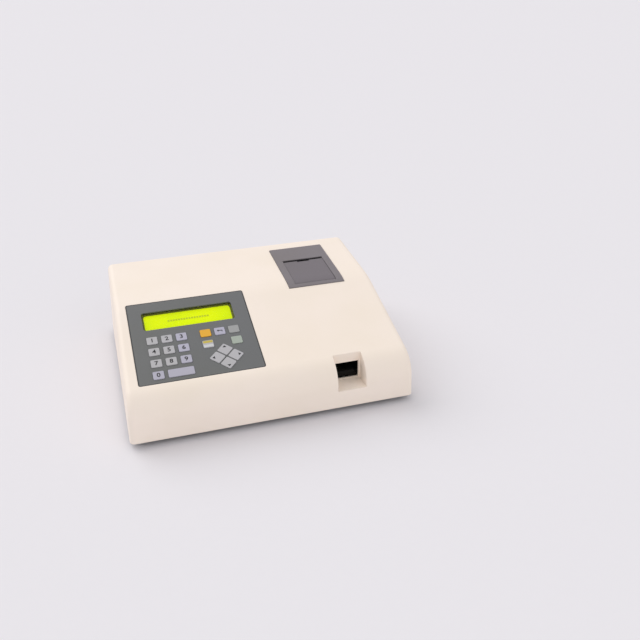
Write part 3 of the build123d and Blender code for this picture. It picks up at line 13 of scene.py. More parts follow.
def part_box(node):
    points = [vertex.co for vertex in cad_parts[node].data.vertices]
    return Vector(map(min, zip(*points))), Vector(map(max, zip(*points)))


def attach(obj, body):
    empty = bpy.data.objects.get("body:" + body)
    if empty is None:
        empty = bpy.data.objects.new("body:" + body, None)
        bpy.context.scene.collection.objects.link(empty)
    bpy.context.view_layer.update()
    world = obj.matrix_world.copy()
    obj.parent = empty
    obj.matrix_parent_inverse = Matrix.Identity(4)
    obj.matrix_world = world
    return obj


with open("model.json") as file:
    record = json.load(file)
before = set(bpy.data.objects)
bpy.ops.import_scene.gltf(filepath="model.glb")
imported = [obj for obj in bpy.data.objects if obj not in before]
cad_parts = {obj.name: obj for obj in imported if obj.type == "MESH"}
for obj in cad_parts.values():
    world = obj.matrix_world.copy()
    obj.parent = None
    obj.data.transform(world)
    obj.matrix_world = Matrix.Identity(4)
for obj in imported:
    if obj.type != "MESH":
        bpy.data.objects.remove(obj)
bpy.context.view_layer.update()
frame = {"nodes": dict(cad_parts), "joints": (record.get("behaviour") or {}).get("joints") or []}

log = logging.getLogger("analyzer")
Colour = tuple[float, float, float]
Outline = list[tuple[float, float]]
MM = 0.001
HOUSING = "housing"         # the body that the fixed pieces ride on
ACROSS = Vector((1.0, 0.0, 0.0))
DUST_COLOUR: Colour = (0.62, 0.60, 0.57)
DUST_FINE = 420.0           # waves per metre of the dust's grains
DUST_BROAD = 30.0           # and of its drifts
WEAR_BREAKS = 260.0         # waves per metre that break up worn edges
WEAR_FLOOR = 0.2            # wear that stays where the noise is lowest
WEAR_GAIN = 4.0
EDGE_SAMPLES = 6
PATCH_LOW = 0.35            # noise values where a patch starts and is full
PATCH_HIGH = 0.7
LINE_STRETCH = Vector((0.05, 1.0, 6.0))
COARSE_SHARE = 0.6          # share of the grain's height that is noise, not cells
SPECKLE_SCALE = 0.3         # scale of the speckle, as a share of the grain's
RELIEF_STRENGTH = 0.6
PRINT_THICK = 0.05 * MM     # thickness of a printed mark
KEY_BEVEL = 0.15 * MM
BEVEL_STEPS = 2
SHARP_ANGLE = 35.0          # degrees; flatter edges stay as they are
RIM_DEPTH = 0.02 * MM       # how near to its top a face's rim lies


def shade(red: float, green: float, blue: float) -> Colour:
    """Turn a screen colour into the linear colour that a shader takes.

    Args:
        red, green, blue: screen values from 0 to 255.

    Returns:
        The same colour as linear values from 0 to 1.
    """
    def linear(value: float) -> float:
        """Undo the screen curve of one channel."""
        part = value / 255
        return part / 12.92 if part <= 0.04045 else ((part + 0.055) / 1.055) ** 2.4

    return linear(red), linear(green), linear(blue)


def toned(colour: Colour, factor: float, added: float = 0.0) -> Colour:
    """Scale a colour and add white to it, up to full white."""
    return tuple(min(1.0, part * factor + added) for part in colour)


class Slot(Enum):
    """Names of material slots in the record."""

    BLACK = "part_black"
    KEY = "key_grey"
    PANEL = "panel_slate"
    DISPLAY = "display_yellow"
    PLATE = "plate_steel"


class Pointing(Enum):
    """Ways that an arrow mark can point on the panel, as (across, up)."""

    UP = (0.0, 1.0)
    DOWN = (0.0, -1.0)
    LEFT = (-1.0, 0.0)
    RIGHT = (1.0, 0.0)


# ---- shared shader effects
class NodeTree:
    """A shader node tree that nodes and links are added to."""

    def __init__(self, tree: bpy.types.NodeTree) -> None:
        """Keep the tree."""
        self.tree = tree

    def node(self, kind: str, **settings: object) -> bpy.types.Node:
        """Add a node and set its properties.

        Args:
            kind: the node's type.
            settings: its properties.

        Returns:
            The new node.
        """
        made = self.tree.nodes.new(kind)
        for name, value in settings.items():
            setattr(made, name, value)
        return made

    def link(self, start: bpy.types.NodeSocket, end: bpy.types.NodeSocket) -> None:
        """Join two sockets."""
        self.tree.links.new(start, end)


class Effect(NodeTree):
    """One shared effect, kept as a shader node group that is built once."""

    def __init__(self, title: str, inputs: dict[str, float], outputs: dict[str, str]) -> None:
        """Make the empty group.

        Args:
            title: the group's name.
            inputs: default value of each input.
            outputs: socket type of each output, "Float" or "Vector".
        """
        super().__init__(bpy.data.node_groups.new(title, "ShaderNodeTree"))
        for name, value in inputs.items():
            socket = self.tree.interface.new_socket(name, in_out="INPUT",
                                                    socket_type="NodeSocketFloat")
            socket.default_value = value
        for name, kind in outputs.items():
            self.tree.interface.new_socket(name, in_out="OUTPUT", socket_type="NodeSocket" + kind)
        self.source = self.tree.nodes.new("NodeGroupInput")
        self.sink = self.tree.nodes.new("NodeGroupOutput")

    def math(self, operation: str, first: object, second: object = None,
             clamp: bool = False) -> bpy.types.NodeSocket:
        """Add one math step.

        Args:
            operation: Blender's name for the step.
            first, second: a socket, a number, or nothing for the second.
            clamp: keep the result between 0 and 1.

        Returns:
            The socket with the result.
        """
        step = self.node("ShaderNodeMath", operation=operation, use_clamp=clamp)
        for slot, value in enumerate((first, second)):
            if isinstance(value, bpy.types.NodeSocket):
                self.link(value, step.inputs[slot])
            elif value is not None:
                step.inputs[slot].default_value = value
        return step.outputs[0]

    def noise(self, scale: object, detail: float = 2.0,
              stretch: Vector | None = None) -> bpy.types.NodeSocket:
        """Add noise in the piece's own coordinates.

        Args:
            scale: a socket or a number, in waves per metre.
            detail: octaves.
            stretch: scale of each axis before the noise.

        Returns:
            The noise value.
        """
        place = self.node("ShaderNodeTexCoord").outputs["Object"]
        if stretch is not None:
            mapping = self.node("ShaderNodeMapping")
            mapping.inputs["Scale"].default_value = stretch
            self.link(place, mapping.inputs["Vector"])
            place = mapping.outputs["Vector"]
        noise = self.node("ShaderNodeTexNoise")
        noise.inputs["Detail"].default_value = detail
        self.link(place, noise.inputs["Vector"])
        if isinstance(scale, bpy.types.NodeSocket):
            self.link(scale, noise.inputs["Scale"])
        else:
            noise.inputs["Scale"].default_value = scale
        return noise.outputs["Fac"]


def moulded_grain() -> Effect:
    """Fine spark-eroded texture of a moulded surface, as a height and a speckle.

    Returns:
        The effect.
    """
    effect = Effect("Moulded grain", {"Scale": 900.0}, {"Height": "Float", "Speckle": "Float"})
    scale = effect.source.outputs["Scale"]
    coarse = effect.noise(scale, detail=3.0)
    cells = effect.node("ShaderNodeTexVoronoi", feature="SMOOTH_F1")
    effect.link(effect.node("ShaderNodeTexCoord").outputs["Object"], cells.inputs["Vector"])
    effect.link(scale, cells.inputs["Scale"])
    both = effect.math("ADD", effect.math("MULTIPLY", coarse, COARSE_SHARE),
                       effect.math("MULTIPLY", cells.outputs["Distance"], 1.0 - COARSE_SHARE))
    effect.link(both, effect.sink.inputs["Height"])
    broad = effect.noise(effect.math("MULTIPLY", scale, SPECKLE_SCALE), detail=2.0)
    effect.link(effect.math("MULTIPLY", broad, 1.0, clamp=True), effect.sink.inputs["Speckle"])
    return effect


def edge_wear() -> Effect:
    """Mask that is strongest on the edges, and the normal of slightly rounded edges.

    Returns:
        The effect.
    """
    effect = Effect("Edge wear", {"Radius": 0.0005, "Amount": 0.5},
                    {"Mask": "Float", "Normal": "Vector"})
    rounded = effect.node("ShaderNodeBevel", samples=EDGE_SAMPLES)
    effect.link(effect.source.outputs["Radius"], rounded.inputs["Radius"])
    flat = effect.node("ShaderNodeNewGeometry")
    product = effect.node("ShaderNodeVectorMath", operation="DOT_PRODUCT")
    effect.link(rounded.outputs["Normal"], product.inputs[0])
    effect.link(flat.outputs["Normal"], product.inputs[1])
    turned = effect.math("SUBTRACT", 1.0, product.outputs["Value"])
    breaks = effect.math("ADD", effect.noise(WEAR_BREAKS, detail=4.0), WEAR_FLOOR)
    broken = effect.math("MULTIPLY", turned, breaks)
    strong = effect.math("MULTIPLY", broken, WEAR_GAIN)
    mask = effect.math("MULTIPLY", strong, effect.source.outputs["Amount"], clamp=True)
    effect.link(mask, effect.sink.inputs["Mask"])
    effect.link(rounded.outputs["Normal"], effect.sink.inputs["Normal"])
    return effect


def handling() -> Effect:
    """Broad soft patches where a surface has aged and been wiped.

    Returns:
        The effect.
    """
    effect = Effect("Handling", {"Scale": 14.0}, {"Mask": "Float"})
    patches = effect.noise(effect.source.outputs["Scale"], detail=4.0)
    spread = effect.node("ShaderNodeMapRange")
    spread.inputs["From Min"].default_value = PATCH_LOW
    spread.inputs["From Max"].default_value = PATCH_HIGH
    effect.link(patches, spread.inputs["Value"])
    effect.link(spread.outputs["Result"], effect.sink.inputs["Mask"])
    return effect


def settled_dust() -> Effect:
    """Thin dust on faces that look up.

    Returns:
        The effect.
    """
    effect = Effect("Settled dust", {"Amount": 0.1}, {"Mask": "Float"})
    facing = effect.node("ShaderNodeSeparateXYZ")
    effect.link(effect.node("ShaderNodeNewGeometry").outputs["Normal"], facing.inputs["Vector"])
    upward = effect.math("SMOOTH_MAX", facing.outputs["Z"], 0.0)
    grains = effect.math("MULTIPLY", effect.noise(DUST_FINE, detail=5.0),
                         effect.noise(DUST_BROAD, detail=2.0))
    mask = effect.math("MULTIPLY", effect.math("MULTIPLY", upward, grains),
                       effect.source.outputs["Amount"], clamp=True)
    effect.link(mask, effect.sink.inputs["Mask"])
    return effect


def brushed_lines() -> Effect:
    """Fine parallel lines of a brushed or ground surface.

    Returns:
        The effect.
    """
    effect = Effect("Brushed lines", {"Scale": 300.0}, {"Height": "Float"})
    lines = effect.noise(effect.source.outputs["Scale"], detail=3.0, stretch=LINE_STRETCH)
    effect.link(lines, effect.sink.inputs["Height"])
    return effect


class Effects:
    """The shared effects, each built once."""

    def __init__(self) -> None:
        """Build every effect."""
        self.grain = moulded_grain().tree
        self.wear = edge_wear().tree
        self.handling = handling().tree
        self.dust = settled_dust().tree
        self.brushed = brushed_lines().tree


# ---- finishes
class Painter(NodeTree):
    """Builds one material around a Principled BSDF."""

    def __init__(self, title: str, effects: Effects) -> None:
        """Start a material.

        Args:
            title: the material's name.
            effects: the shared effects.
        """
        self.material = bpy.data.materials.new(title)
        self.material.use_nodes = True
        super().__init__(self.material.node_tree)
        self.effects = effects
        self.shader = self.tree.nodes["Principled BSDF"]

    def effect(self, tree: bpy.types.NodeTree, **values: float) -> bpy.types.Node:
        """Place a shared effect with this material's own values.

        Args:
            tree: the effect's group.
            values: its inputs.

        Returns:
            The group's node.
        """
        made = self.node("ShaderNodeGroup", node_tree=tree)
        for name, value in values.items():
            made.inputs[name].default_value = value
        return made

    def mixed(self, mask: bpy.types.NodeSocket, under: object,
              over: object) -> bpy.types.NodeSocket:
        """Mix two colours by a mask.

        Args:
            mask: 0 shows the first colour and 1 the second.
            under, over: a colour or a socket.

        Returns:
            The mixed colour.
        """
        mix = self.node("ShaderNodeMix", data_type="RGBA")
        self.link(mask, mix.inputs[0])
        for slot, value in ((6, under), (7, over)):
            if isinstance(value, bpy.types.NodeSocket):
                self.link(value, mix.inputs[slot])
            else:
                mix.inputs[slot].default_value = (*value, 1.0)
        return mix.outputs[2]

    def ranged(self, value: bpy.types.NodeSocket, low: float,
               high: float) -> bpy.types.NodeSocket:
        """Spread a value from 0 to 1 over another range.

        Args:
            value: the value to spread.
            low, high: the new range.

        Returns:
            The spread value.
        """
        spread = self.node("ShaderNodeMapRange")
        spread.inputs["To Min"].default_value = low
        spread.inputs["To Max"].default_value = high
        self.link(value, spread.inputs["Value"])
        return spread.outputs["Result"]

    def relief(self, height: bpy.types.NodeSocket, depth: float,
               normal: bpy.types.NodeSocket | None = None) -> None:
        """Give the surface a fine relief.

        Args:
            height: the relief's height, from 0 to 1.
            depth: its depth in metres.
            normal: the normal that it is added to.
        """
        bump = self.node("ShaderNodeBump")
        bump.inputs["Strength"].default_value = RELIEF_STRENGTH
        bump.inputs["Distance"].default_value = depth
        self.link(height, bump.inputs["Height"])
        if normal is not None:
            self.link(normal, bump.inputs["Normal"])
        self.link(bump.outputs["Normal"], self.shader.inputs["Normal"])

    def value(self, socket: str, number: object) -> None:
        """Set one of the shader's own sockets."""
        self.shader.inputs[socket].default_value = number

    def feed(self, socket: str, source: bpy.types.NodeSocket) -> None:
        """Feed one of the shader's own sockets."""
        self.link(source, self.shader.inputs[socket])


@dataclass(frozen=True)
class Finish:
    """A finish with its title and main colour, which builds one material."""

    title: str
    colour: Colour

    def build(self, effects: Effects) -> bpy.types.Material:
        """Build the material.

        Args:
            effects: the shared effects.

        Returns:
            The material.
        """
        paint = Painter(self.title, effects)
        self.apply(paint)
        return paint.material

    def apply(self, paint: Painter) -> None:
        """Set up the material's nodes, which each kind of finish does its own way."""
        raise NotImplementedError


@dataclass(frozen=True)
class MouldedPlastic(Finish):
    """Moulded plastic with a spark texture, worn edges, patches and a little dust."""

    roughness: float = 0.5
    grain_scale: float = 1400.0
    grain_depth: float = 0.00004
    aged: float = 0.96
    wear: float = 0.25
    edge: float = 0.0005
    dust: float = 0.12
    specular: float = 0.4
    patch_scale: float = 14.0
    rough_spread: float = 0.06

    def apply(self, paint: Painter) -> None:
        """Set up the material's nodes.

        Args:
            paint: the material in the making.
        """
        grain = paint.effect(paint.effects.grain, Scale=self.grain_scale)
        wear = paint.effect(paint.effects.wear, Radius=self.edge, Amount=self.wear)
        patches = paint.effect(paint.effects.handling, Scale=self.patch_scale)
        dust = paint.effect(paint.effects.dust, Amount=self.dust)
        red, green, blue = self.colour
        older = (red * self.aged, green * self.aged, blue * self.aged ** 2)
        lighter = toned(self.colour, 1.12, 0.03)
        base = paint.mixed(patches.outputs["Mask"], self.colour, older)
        edged = paint.mixed(wear.outputs["Mask"], base, lighter)
        dusty = paint.mixed(dust.outputs["Mask"], edged, DUST_COLOUR)
        paint.feed("Base Color", dusty)
        rough = paint.ranged(grain.outputs["Speckle"], self.roughness - self.rough_spread,
                             self.roughness + self.rough_spread)
        paint.feed("Roughness", rough)
        paint.value("Specular IOR Level", self.specular)
        paint.relief(grain.outputs["Height"], self.grain_depth, wear.outputs["Normal"])


@dataclass(frozen=True)
class SoftRubber(Finish):
    """Dull rubber or silicone with scuffed patches."""

    roughness: float = 0.8
    rough_spread: float = 0.1
    grain_scale: float = 2200.0
    grain_depth: float = 0.00005
    patch_scale: float = 90.0
    specular: float = 0.3

    def apply(self, paint: Painter) -> None:
        """Set up the material's nodes.

        Args:
            paint: the material in the making.
        """
        grain = paint.effect(paint.effects.grain, Scale=self.grain_scale)
        patches = paint.effect(paint.effects.handling, Scale=self.patch_scale)
        scuffed = toned(self.colour, 1.6, 0.01)
        paint.feed("Base Color", paint.mixed(patches.outputs["Mask"], self.colour, scuffed))
        rough = paint.ranged(grain.outputs["Speckle"], self.roughness - self.rough_spread,
                             self.roughness + self.rough_spread)
        paint.feed("Roughness", rough)
        paint.value("Specular IOR Level", self.specular)
        paint.relief(grain.outputs["Height"], self.grain_depth)


@dataclass(frozen=True)
class WorkedMetal(Finish):
    """Plated, ground or painted metal with fine lines and rubbed edges."""

    roughness: float = 0.35
    metallic: float = 1.0
    line_scale: float = 320.0
    wear: float = 0.5
    line_depth: float = 0.00001
    edge: float = 0.0003
    patch_scale: float = 60.0
    smoother: float = 0.08
    rougher: float = 0.12

    def apply(self, paint: Painter) -> None:
        """Set up the material's nodes.

        Args:
            paint: the material in the making.
        """
        lines = paint.effect(paint.effects.brushed, Scale=self.line_scale)
        wear = paint.effect(paint.effects.wear, Radius=self.edge, Amount=self.wear)
        patches = paint.effect(paint.effects.handling, Scale=self.patch_scale)
        dull = toned(self.colour, 0.82)
        bright = toned(self.colour, 1.25, 0.04)
        base = paint.mixed(patches.outputs["Mask"], self.colour, dull)
        paint.feed("Base Color", paint.mixed(wear.outputs["Mask"], base, bright))
        rough = paint.ranged(lines.outputs["Height"], self.roughness - self.smoother,
                             self.roughness + self.rougher)
        paint.feed("Roughness", rough)
        paint.value("Metallic", self.metallic)
        paint.relief(lines.outputs["Height"], self.line_depth, wear.outputs["Normal"])


@dataclass(frozen=True)
class ClearPane(Finish):
    """Thin clear acrylic with faint wiping marks."""

    haze: float = 0.12
    clearest: float = 0.7       # share of the haze in the clearest places
    patch_scale: float = 45.0
    wipe_scale: float = 160.0
    smoothest: float = 0.04
    roughest: float = 0.14
    specular: float = 0.1

    def apply(self, paint: Painter) -> None:
        """Set up the material's nodes.

        Args:
            paint: the material in the making.
        """
        patches = paint.effect(paint.effects.handling, Scale=self.patch_scale)
        lines = paint.effect(paint.effects.brushed, Scale=self.wipe_scale)
        wiped = toned(self.colour, 0.94)
        paint.feed("Base Color", paint.mixed(patches.outputs["Mask"], self.colour, wiped))
        rough = paint.ranged(lines.outputs["Height"], self.smoothest, self.roughest)
        paint.feed("Roughness", rough)
        haze = paint.ranged(patches.outputs["Mask"], self.haze * self.clearest, self.haze)
        paint.feed("Alpha", haze)
        paint.value("Specular IOR Level", self.specular)


@dataclass(frozen=True)
class LitDisplay(Finish):
    """Backlit display film with greener patches and a fine grid of cells."""

    strength: float = 0.3
    cell_scale: float = 900.0
    cell_gap: float = 0.06
    grid_strength: float = 0.12
    patch_scale: float = 22.0
    roughness: float = 0.4
    specular: float = 0.05

    def apply(self, paint: Painter) -> None:
        """Set up the material's nodes.

        Args:
            paint: the material in the making.
        """
        patches = paint.effect(paint.effects.handling, Scale=self.patch_scale)
        place = paint.node("ShaderNodeTexCoord")
        cells = paint.node("ShaderNodeTexBrick", offset=0.0)
        cells.inputs["Scale"].default_value = self.cell_scale
        cells.inputs["Mortar Size"].default_value = self.cell_gap
        cells.inputs["Color1"].default_value = (1.0, 1.0, 1.0, 1.0)
        cells.inputs["Color2"].default_value = (1.0, 1.0, 1.0, 1.0)
        cells.inputs["Mortar"].default_value = (0.0, 0.0, 0.0, 1.0)
        paint.link(place.outputs["Object"], cells.inputs["Vector"])
        grid = paint.ranged(cells.outputs["Fac"], 0.0, self.grid_strength)
        red, green, blue = self.colour
        greener = (red * 0.86, green * 0.96, blue)
        darker = toned(self.colour, 0.8)
        base = paint.mixed(patches.outputs["Mask"], self.colour, greener)
        film = paint.mixed(grid, base, darker)
        paint.feed("Base Color", film)
        paint.feed("Emission Color", film)
        paint.value("Emission Strength", self.strength)
        paint.value("Roughness", self.roughness)
        paint.value("Specular IOR Level", self.specular)


@dataclass(frozen=True)
class CircuitBoard(Finish):
    """Glass-fibre board under its solder mask, with raised tracks."""

    track_scale: float = 160.0
    track_pitch: float = 0.09
    track_edge: float = 0.06
    track_depth: float = 0.00003
    board_roughness: float = 0.3
    track_roughness: float = 0.42

    def apply(self, paint: Painter) -> None:
        """Set up the material's nodes.

        Args:
            paint: the material in the making.
        """
        place = paint.node("ShaderNodeTexCoord")
        tracks = paint.node("ShaderNodeTexVoronoi", distance="MANHATTAN", feature="F2")
        tracks.inputs["Scale"].default_value = self.track_scale
        paint.link(place.outputs["Object"], tracks.inputs["Vector"])
        step = paint.node("ShaderNodeMath", operation="PINGPONG")
        step.inputs[1].default_value = self.track_pitch
        paint.link(tracks.outputs["Distance"], step.inputs[0])
        mask = paint.node("ShaderNodeMath", operation="GREATER_THAN")
        mask.inputs[1].default_value = self.track_edge
        paint.link(step.outputs[0], mask.inputs[0])
        raised = toned(self.colour, 1.5, 0.01)
        paint.feed("Base Color", paint.mixed(mask.outputs[0], self.colour, raised))
        rough = paint.ranged(mask.outputs[0], self.board_roughness, self.track_roughness)
        paint.feed("Roughness", rough)
        paint.relief(mask.outputs[0], self.track_depth)


@dataclass(frozen=True)
class WoundPaper(Finish):
    """Thermal paper wound on its spindle: rings on the ends, fibres on the face."""

    axis_y: float
    axis_z: float
    layer: float = 0.0004
    fibre_scale: float = 1800.0
    fibre_depth: float = 0.00003
    smoothest: float = 0.6
    roughest: float = 0.8

    def apply(self, paint: Painter) -> None:
        """Set up the material's nodes.

        Args:
            paint: the material in the making.
        """
        place = paint.node("ShaderNodeTexCoord")
        centred = paint.node("ShaderNodeVectorMath", operation="SUBTRACT")
        centred.inputs[1].default_value = (0.0, self.axis_y, self.axis_z)
        paint.link(place.outputs["Object"], centred.inputs[0])
        flat = paint.node("ShaderNodeVectorMath", operation="MULTIPLY")
        flat.inputs[1].default_value = (0.0, 1.0, 1.0)
        paint.link(centred.outputs[0], flat.inputs[0])
        reach = paint.node("ShaderNodeVectorMath", operation="LENGTH")
        paint.link(flat.outputs[0], reach.inputs[0])
        rings = paint.node("ShaderNodeMath", operation="PINGPONG")
        rings.inputs[1].default_value = self.layer
        paint.link(reach.outputs["Value"], rings.inputs[0])
        edge = paint.node("ShaderNodeMapRange")
        edge.inputs["From Max"].default_value = self.layer
        paint.link(rings.outputs[0], edge.inputs["Value"])
        darker = toned(self.colour, 0.8)
        paint.feed("Base Color", paint.mixed(edge.outputs["Result"], darker, self.colour))
        fibres = paint.effect(paint.effects.grain, Scale=self.fibre_scale)
        rough = paint.ranged(fibres.outputs["Speckle"], self.smoothest, self.roughest)
        paint.feed("Roughness", rough)
        paint.relief(fibres.outputs["Height"], self.fibre_depth)


@dataclass(frozen=True)
class PrintedInk(Finish):
    """Ink printed on plastic, slightly rubbed in patches."""

    rubbed: float = 0.15
    rubbed_white: float = 0.3   # white that shows through per share rubbed off
    patch_scale: float = 400.0
    smoothest: float = 0.4
    roughest: float = 0.55
    specular: float = 0.3

    def apply(self, paint: Painter) -> None:
        """Set up the material's nodes.

        Args:
            paint: the material in the making.
        """
        patches = paint.effect(paint.effects.handling, Scale=self.patch_scale)
        faded = toned(self.colour, 1 - self.rubbed, self.rubbed * self.rubbed_white)
        paint.feed("Base Color", paint.mixed(patches.outputs["Mask"], self.colour, faded))
        rough = paint.ranged(patches.outputs["Mask"], self.smoothest, self.roughest)
        paint.feed("Roughness", rough)
        paint.value("Specular IOR Level", self.specular)


@dataclass(frozen=True)
class FloorPaper(Finish):
    """Matt paper of the studio's floor."""

    fibre_scale: float = 300.0
    fibre_tone: float = 0.99
    roughness: float = 0.9
    specular: float = 0.1

    def apply(self, paint: Painter) -> None:
        """Set up the material's nodes.

        Args:
            paint: the material in the making.
        """
        fibres = paint.effect(paint.effects.grain, Scale=self.fibre_scale)
        softer = toned(self.colour, self.fibre_tone)
        paint.feed("Base Color", paint.mixed(fibres.outputs["Speckle"], self.colour, softer))
        paint.value("Roughness", self.roughness)
        paint.value("Specular IOR Level", self.specular)


class Workshop:
    """Keeps the effects and the materials, and dresses nodes with them."""

    def __init__(self) -> None:
        """Build the shared effects."""
        self.effects = Effects()
        self.made: dict[str, bpy.types.Material] = {}

    def material(self, finish: Finish) -> bpy.types.Material:
        """The material of a finish, built at its first use.

        Args:
            finish: the finish.

        Returns:
            Its material.
        """
        if finish.title not in self.made:
            self.made[finish.title] = finish.build(self.effects)
        return self.made[finish.title]

    def dress(self, node: str, finish: Finish) -> bpy.types.Object:
        """Give a node of the frame its finish.

        Args:
            node: the node's name.
            finish: the finish.

        Returns:
            The node's object.
        """
        piece = frame["nodes"][node]
        piece.data.materials.clear()
        piece.data.materials.append(self.material(finish))
        log.info("%s: %s", node, finish.title)
        return piece


# ---- places and small meshes
@dataclass(frozen=True)
class Face:
    """A flat face of a node: its middle, its directions and its size."""

    middle: Vector
    across: Vector
    up: Vector
    out: Vector
    width: float
    length: float

    @staticmethod
    def of(node: str, out: Vector, across: Vector = ACROSS) -> "Face":
        """Find the outermost face of a node.

        Args:
            node: the node's name.
            out: the direction that the face looks in.
            across: the face's own X direction.

        Returns:
            The face.
        """
        up = out.cross(across).normalized()
        points = [vertex.co.copy() for vertex in frame["nodes"][node].data.vertices]
        top = max(point.dot(out) for point in points)
        rim = [point for point in points if point.dot(out) > top - RIM_DEPTH]
        spans = [(min(p.dot(axis) for p in rim), max(p.dot(axis) for p in rim))
                 for axis in (across, up)]
        halves = [(low + high) / 2 for low, high in spans]
        middle = across * halves[0] + up * halves[1] + out * top
        return Face(middle, across, up, out, spans[0][1] - spans[0][0], spans[1][1] - spans[1][0])

    def place(self, across: float = 0.0, up: float = 0.0, lift: float = 0.0) -> Matrix:
        """Matrix of a place on the face, X across, Y up and Z out.

        Args:
            across, up: how far from the face's middle.
            lift: how far above it.

        Returns:
            The matrix.
        """
        turn = Matrix((self.across, self.up, self.out)).transposed().to_4x4()
        spot = self.middle + self.across * across + self.up * up + self.out * lift
        return Matrix.Translation(spot) @ turn


def flat_piece(name: str, outlines: list[Outline], thick: float) -> bpy.types.Object:
    """Make thin plates from flat outlines, as one piece.

    Args:
        name: the piece's name.
        outlines: closed outlines in the plates' own plane, in metres.
        thick: thickness.

    Returns:
        The new object.
    """
    shape = bmesh.new()
    for outline in outlines:
        corners = [shape.verts.new((x, y, 0.0)) for x, y in outline]
        made = bmesh.ops.extrude_face_region(shape, geom=[shape.faces.new(corners)])
        raised = [part for part in made["geom"] if isinstance(part, bmesh.types.BMVert)]
        bmesh.ops.translate(shape, verts=raised, vec=(0.0, 0.0, thick))
    bmesh.ops.recalc_face_normals(shape, faces=shape.faces)
    return finished(name, shape)


def ring_piece(name: str, outer: Outline, inner: Outline, thick: float) -> bpy.types.Object:
    """Make a thin frame between two outlines with the same number of corners.

    Args:
        name: the piece's name.
        outer, inner: closed outlines in metres.
        thick: thickness.

    Returns:
        The new object.
    """
    shape = bmesh.new()
    rows = [[shape.verts.new((x, y, z)) for x, y in outline]
            for outline, z in ((outer, 0.0), (outer, thick), (inner, thick), (inner, 0.0))]
    count = len(outer)
    for low, high in zip(rows, rows[1:] + rows[:1]):
        for i in range(count):
            shape.faces.new((low[i], low[(i + 1) % count], high[(i + 1) % count], high[i]))
    bmesh.ops.recalc_face_normals(shape, faces=shape.faces)
    return finished(name, shape)


def finished(name: str, shape: bmesh.types.BMesh) -> bpy.types.Object:
    """Turn a bmesh into an object of the scene.

    Args:
        name: the object's name.
        shape: its mesh, which is freed.

    Returns:
        The new object.
    """
    mesh = bpy.data.meshes.new(name)
    shape.to_mesh(mesh)
    shape.free()
    made = bpy.data.objects.new(name, mesh)
    bpy.context.scene.collection.objects.link(made)
    return made


def rounded_outline(width: float, length: float, corner: float, steps: int = 6) -> Outline:
    """Outline of a rectangle with rounded corners.

    Args:
        width, length: overall size.
        corner: corner radius.
        steps: points along each corner, less one.

    Returns:
        The outline's points.
    """
    points = []
    for sx, sy, start in ((1, 1, 0), (-1, 1, 90), (-1, -1, 180), (1, -1, 270)):
        for i in range(steps + 1):
            angle = math.radians(start + 90 * i / steps)
            points.append((sx * (width / 2 - corner) + corner * math.cos(angle),
                           sy * (length / 2 - corner) + corner * math.sin(angle)))
    return points


def settle(piece: bpy.types.Object, place: Matrix, body: str,
           material: bpy.types.Material) -> bpy.types.Object:
    """Put a new piece in its place on a body, with its material.

    Args:
        piece: the new object.
        place: its matrix.
        body: the body that it rides on.
        material: its material.

    Returns:
        The same object.
    """
    piece.matrix_world = place
    piece.data.materials.append(material)
    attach(piece, body)
    log.info("%s rides %s", piece.name, body)
    return piece


def soften(node: str, width: float) -> None:
    """Round the sharp edges of a node by a narrow bevel.

    Args:
        node: the node's name.
        width: the bevel's width.
    """
    bevel = frame["nodes"][node].modifiers.new("edges", "BEVEL")
    bevel.width = width
    bevel.segments = BEVEL_STEPS
    bevel.limit_method = "ANGLE"
    bevel.angle_limit = math.radians(SHARP_ANGLE)
    bevel.harden_normals = True


KEY_AXIS = Vector(next(j["axis"] for j in frame["joints"] if j["name"] == "key_1_press"))
CONSOLE = -KEY_AXIS.normalized()


# ---- sub-assemblies
@dataclass
class Housing:
    """Cover, base, feet and the rear bay's plate."""

    cream: Finish = MouldedPlastic("Cream housing", shade(253, 240, 229), roughness=0.48,
                                   grain_scale=1500.0, grain_depth=0.00003, aged=0.975,
                                   wear=0.1, edge=0.0006, dust=0.03)
    # painted shade: the base's grey is darkened past its own tone so the gap under the cover's
    # edge reads dark
    grey: Finish = MouldedPlastic("Grey base darkened as painted gap shade", shade(78, 75, 72), 0.6)
    rubber: Finish = SoftRubber("Foot rubber", shade(52, 52, 52))
    zinc: Finish = WorkedMetal("Zinc screws", shade(190, 190, 192), 0.35)
    plate: Finish = WorkedMetal("Rear plate paint", shade(196, 194, 190), roughness=0.5,
                                metallic=0.2, line_scale=700.0)

    def build(self, shop: Workshop) -> None:
        """Dress the housing's nodes.

        Args:
            shop: keeps the materials.
        """
        shop.dress("top_cover", self.cream)
        shop.dress("base_pan", self.grey)
        shop.dress("rubber_feet", self.rubber)
        shop.dress("base_screws", self.zinc)
        shop.dress("rear_plate", self.plate)
        shop.dress("rear_plate_screws", self.zinc)


@dataclass
class ControlPanel:
    """Slate panel plate with a dark ring of painted shade round its edge, where the gap round it
    falls in shade.
    """

    slate: Finish = MouldedPlastic("Slate panel", shade(106, 108, 110), grain_scale=2400.0,
                                   grain_depth=0.00002, aged=0.93, wear=0.15, edge=0.0003,
                                   dust=0.05)
    # painted shade: dark ring standing in for the shade of the gap round the panel
    line: Finish = PrintedInk("Panel edge painted shade", shade(58, 60, 62), 0.1)
    border_width: float = 1.0 * MM
    border_corner: float = 2.3 * MM
    border_thick: float = 0.06 * MM

    def build(self, shop: Workshop) -> None:
        """Dress the panel and lay a dark ring of painted shade round its edge.

        Args:
            shop: keeps the materials.
        """
        shop.dress("control_panel", self.slate)
        face = Face.of("control_panel", CONSOLE)
        outer = rounded_outline(face.width, face.length, self.border_corner)
        inner = rounded_outline(face.width - 2 * self.border_width,
                                face.length - 2 * self.border_width,
                                self.border_corner - self.border_width / 2)
        # painted shade: a dark ring on the panel's edge where the gap falls in shade
        border = ring_piece("panel_edge_painted_shade", outer, inner, self.border_thick)
        settle(border, face.place(), HOUSING, shop.material(self.line))


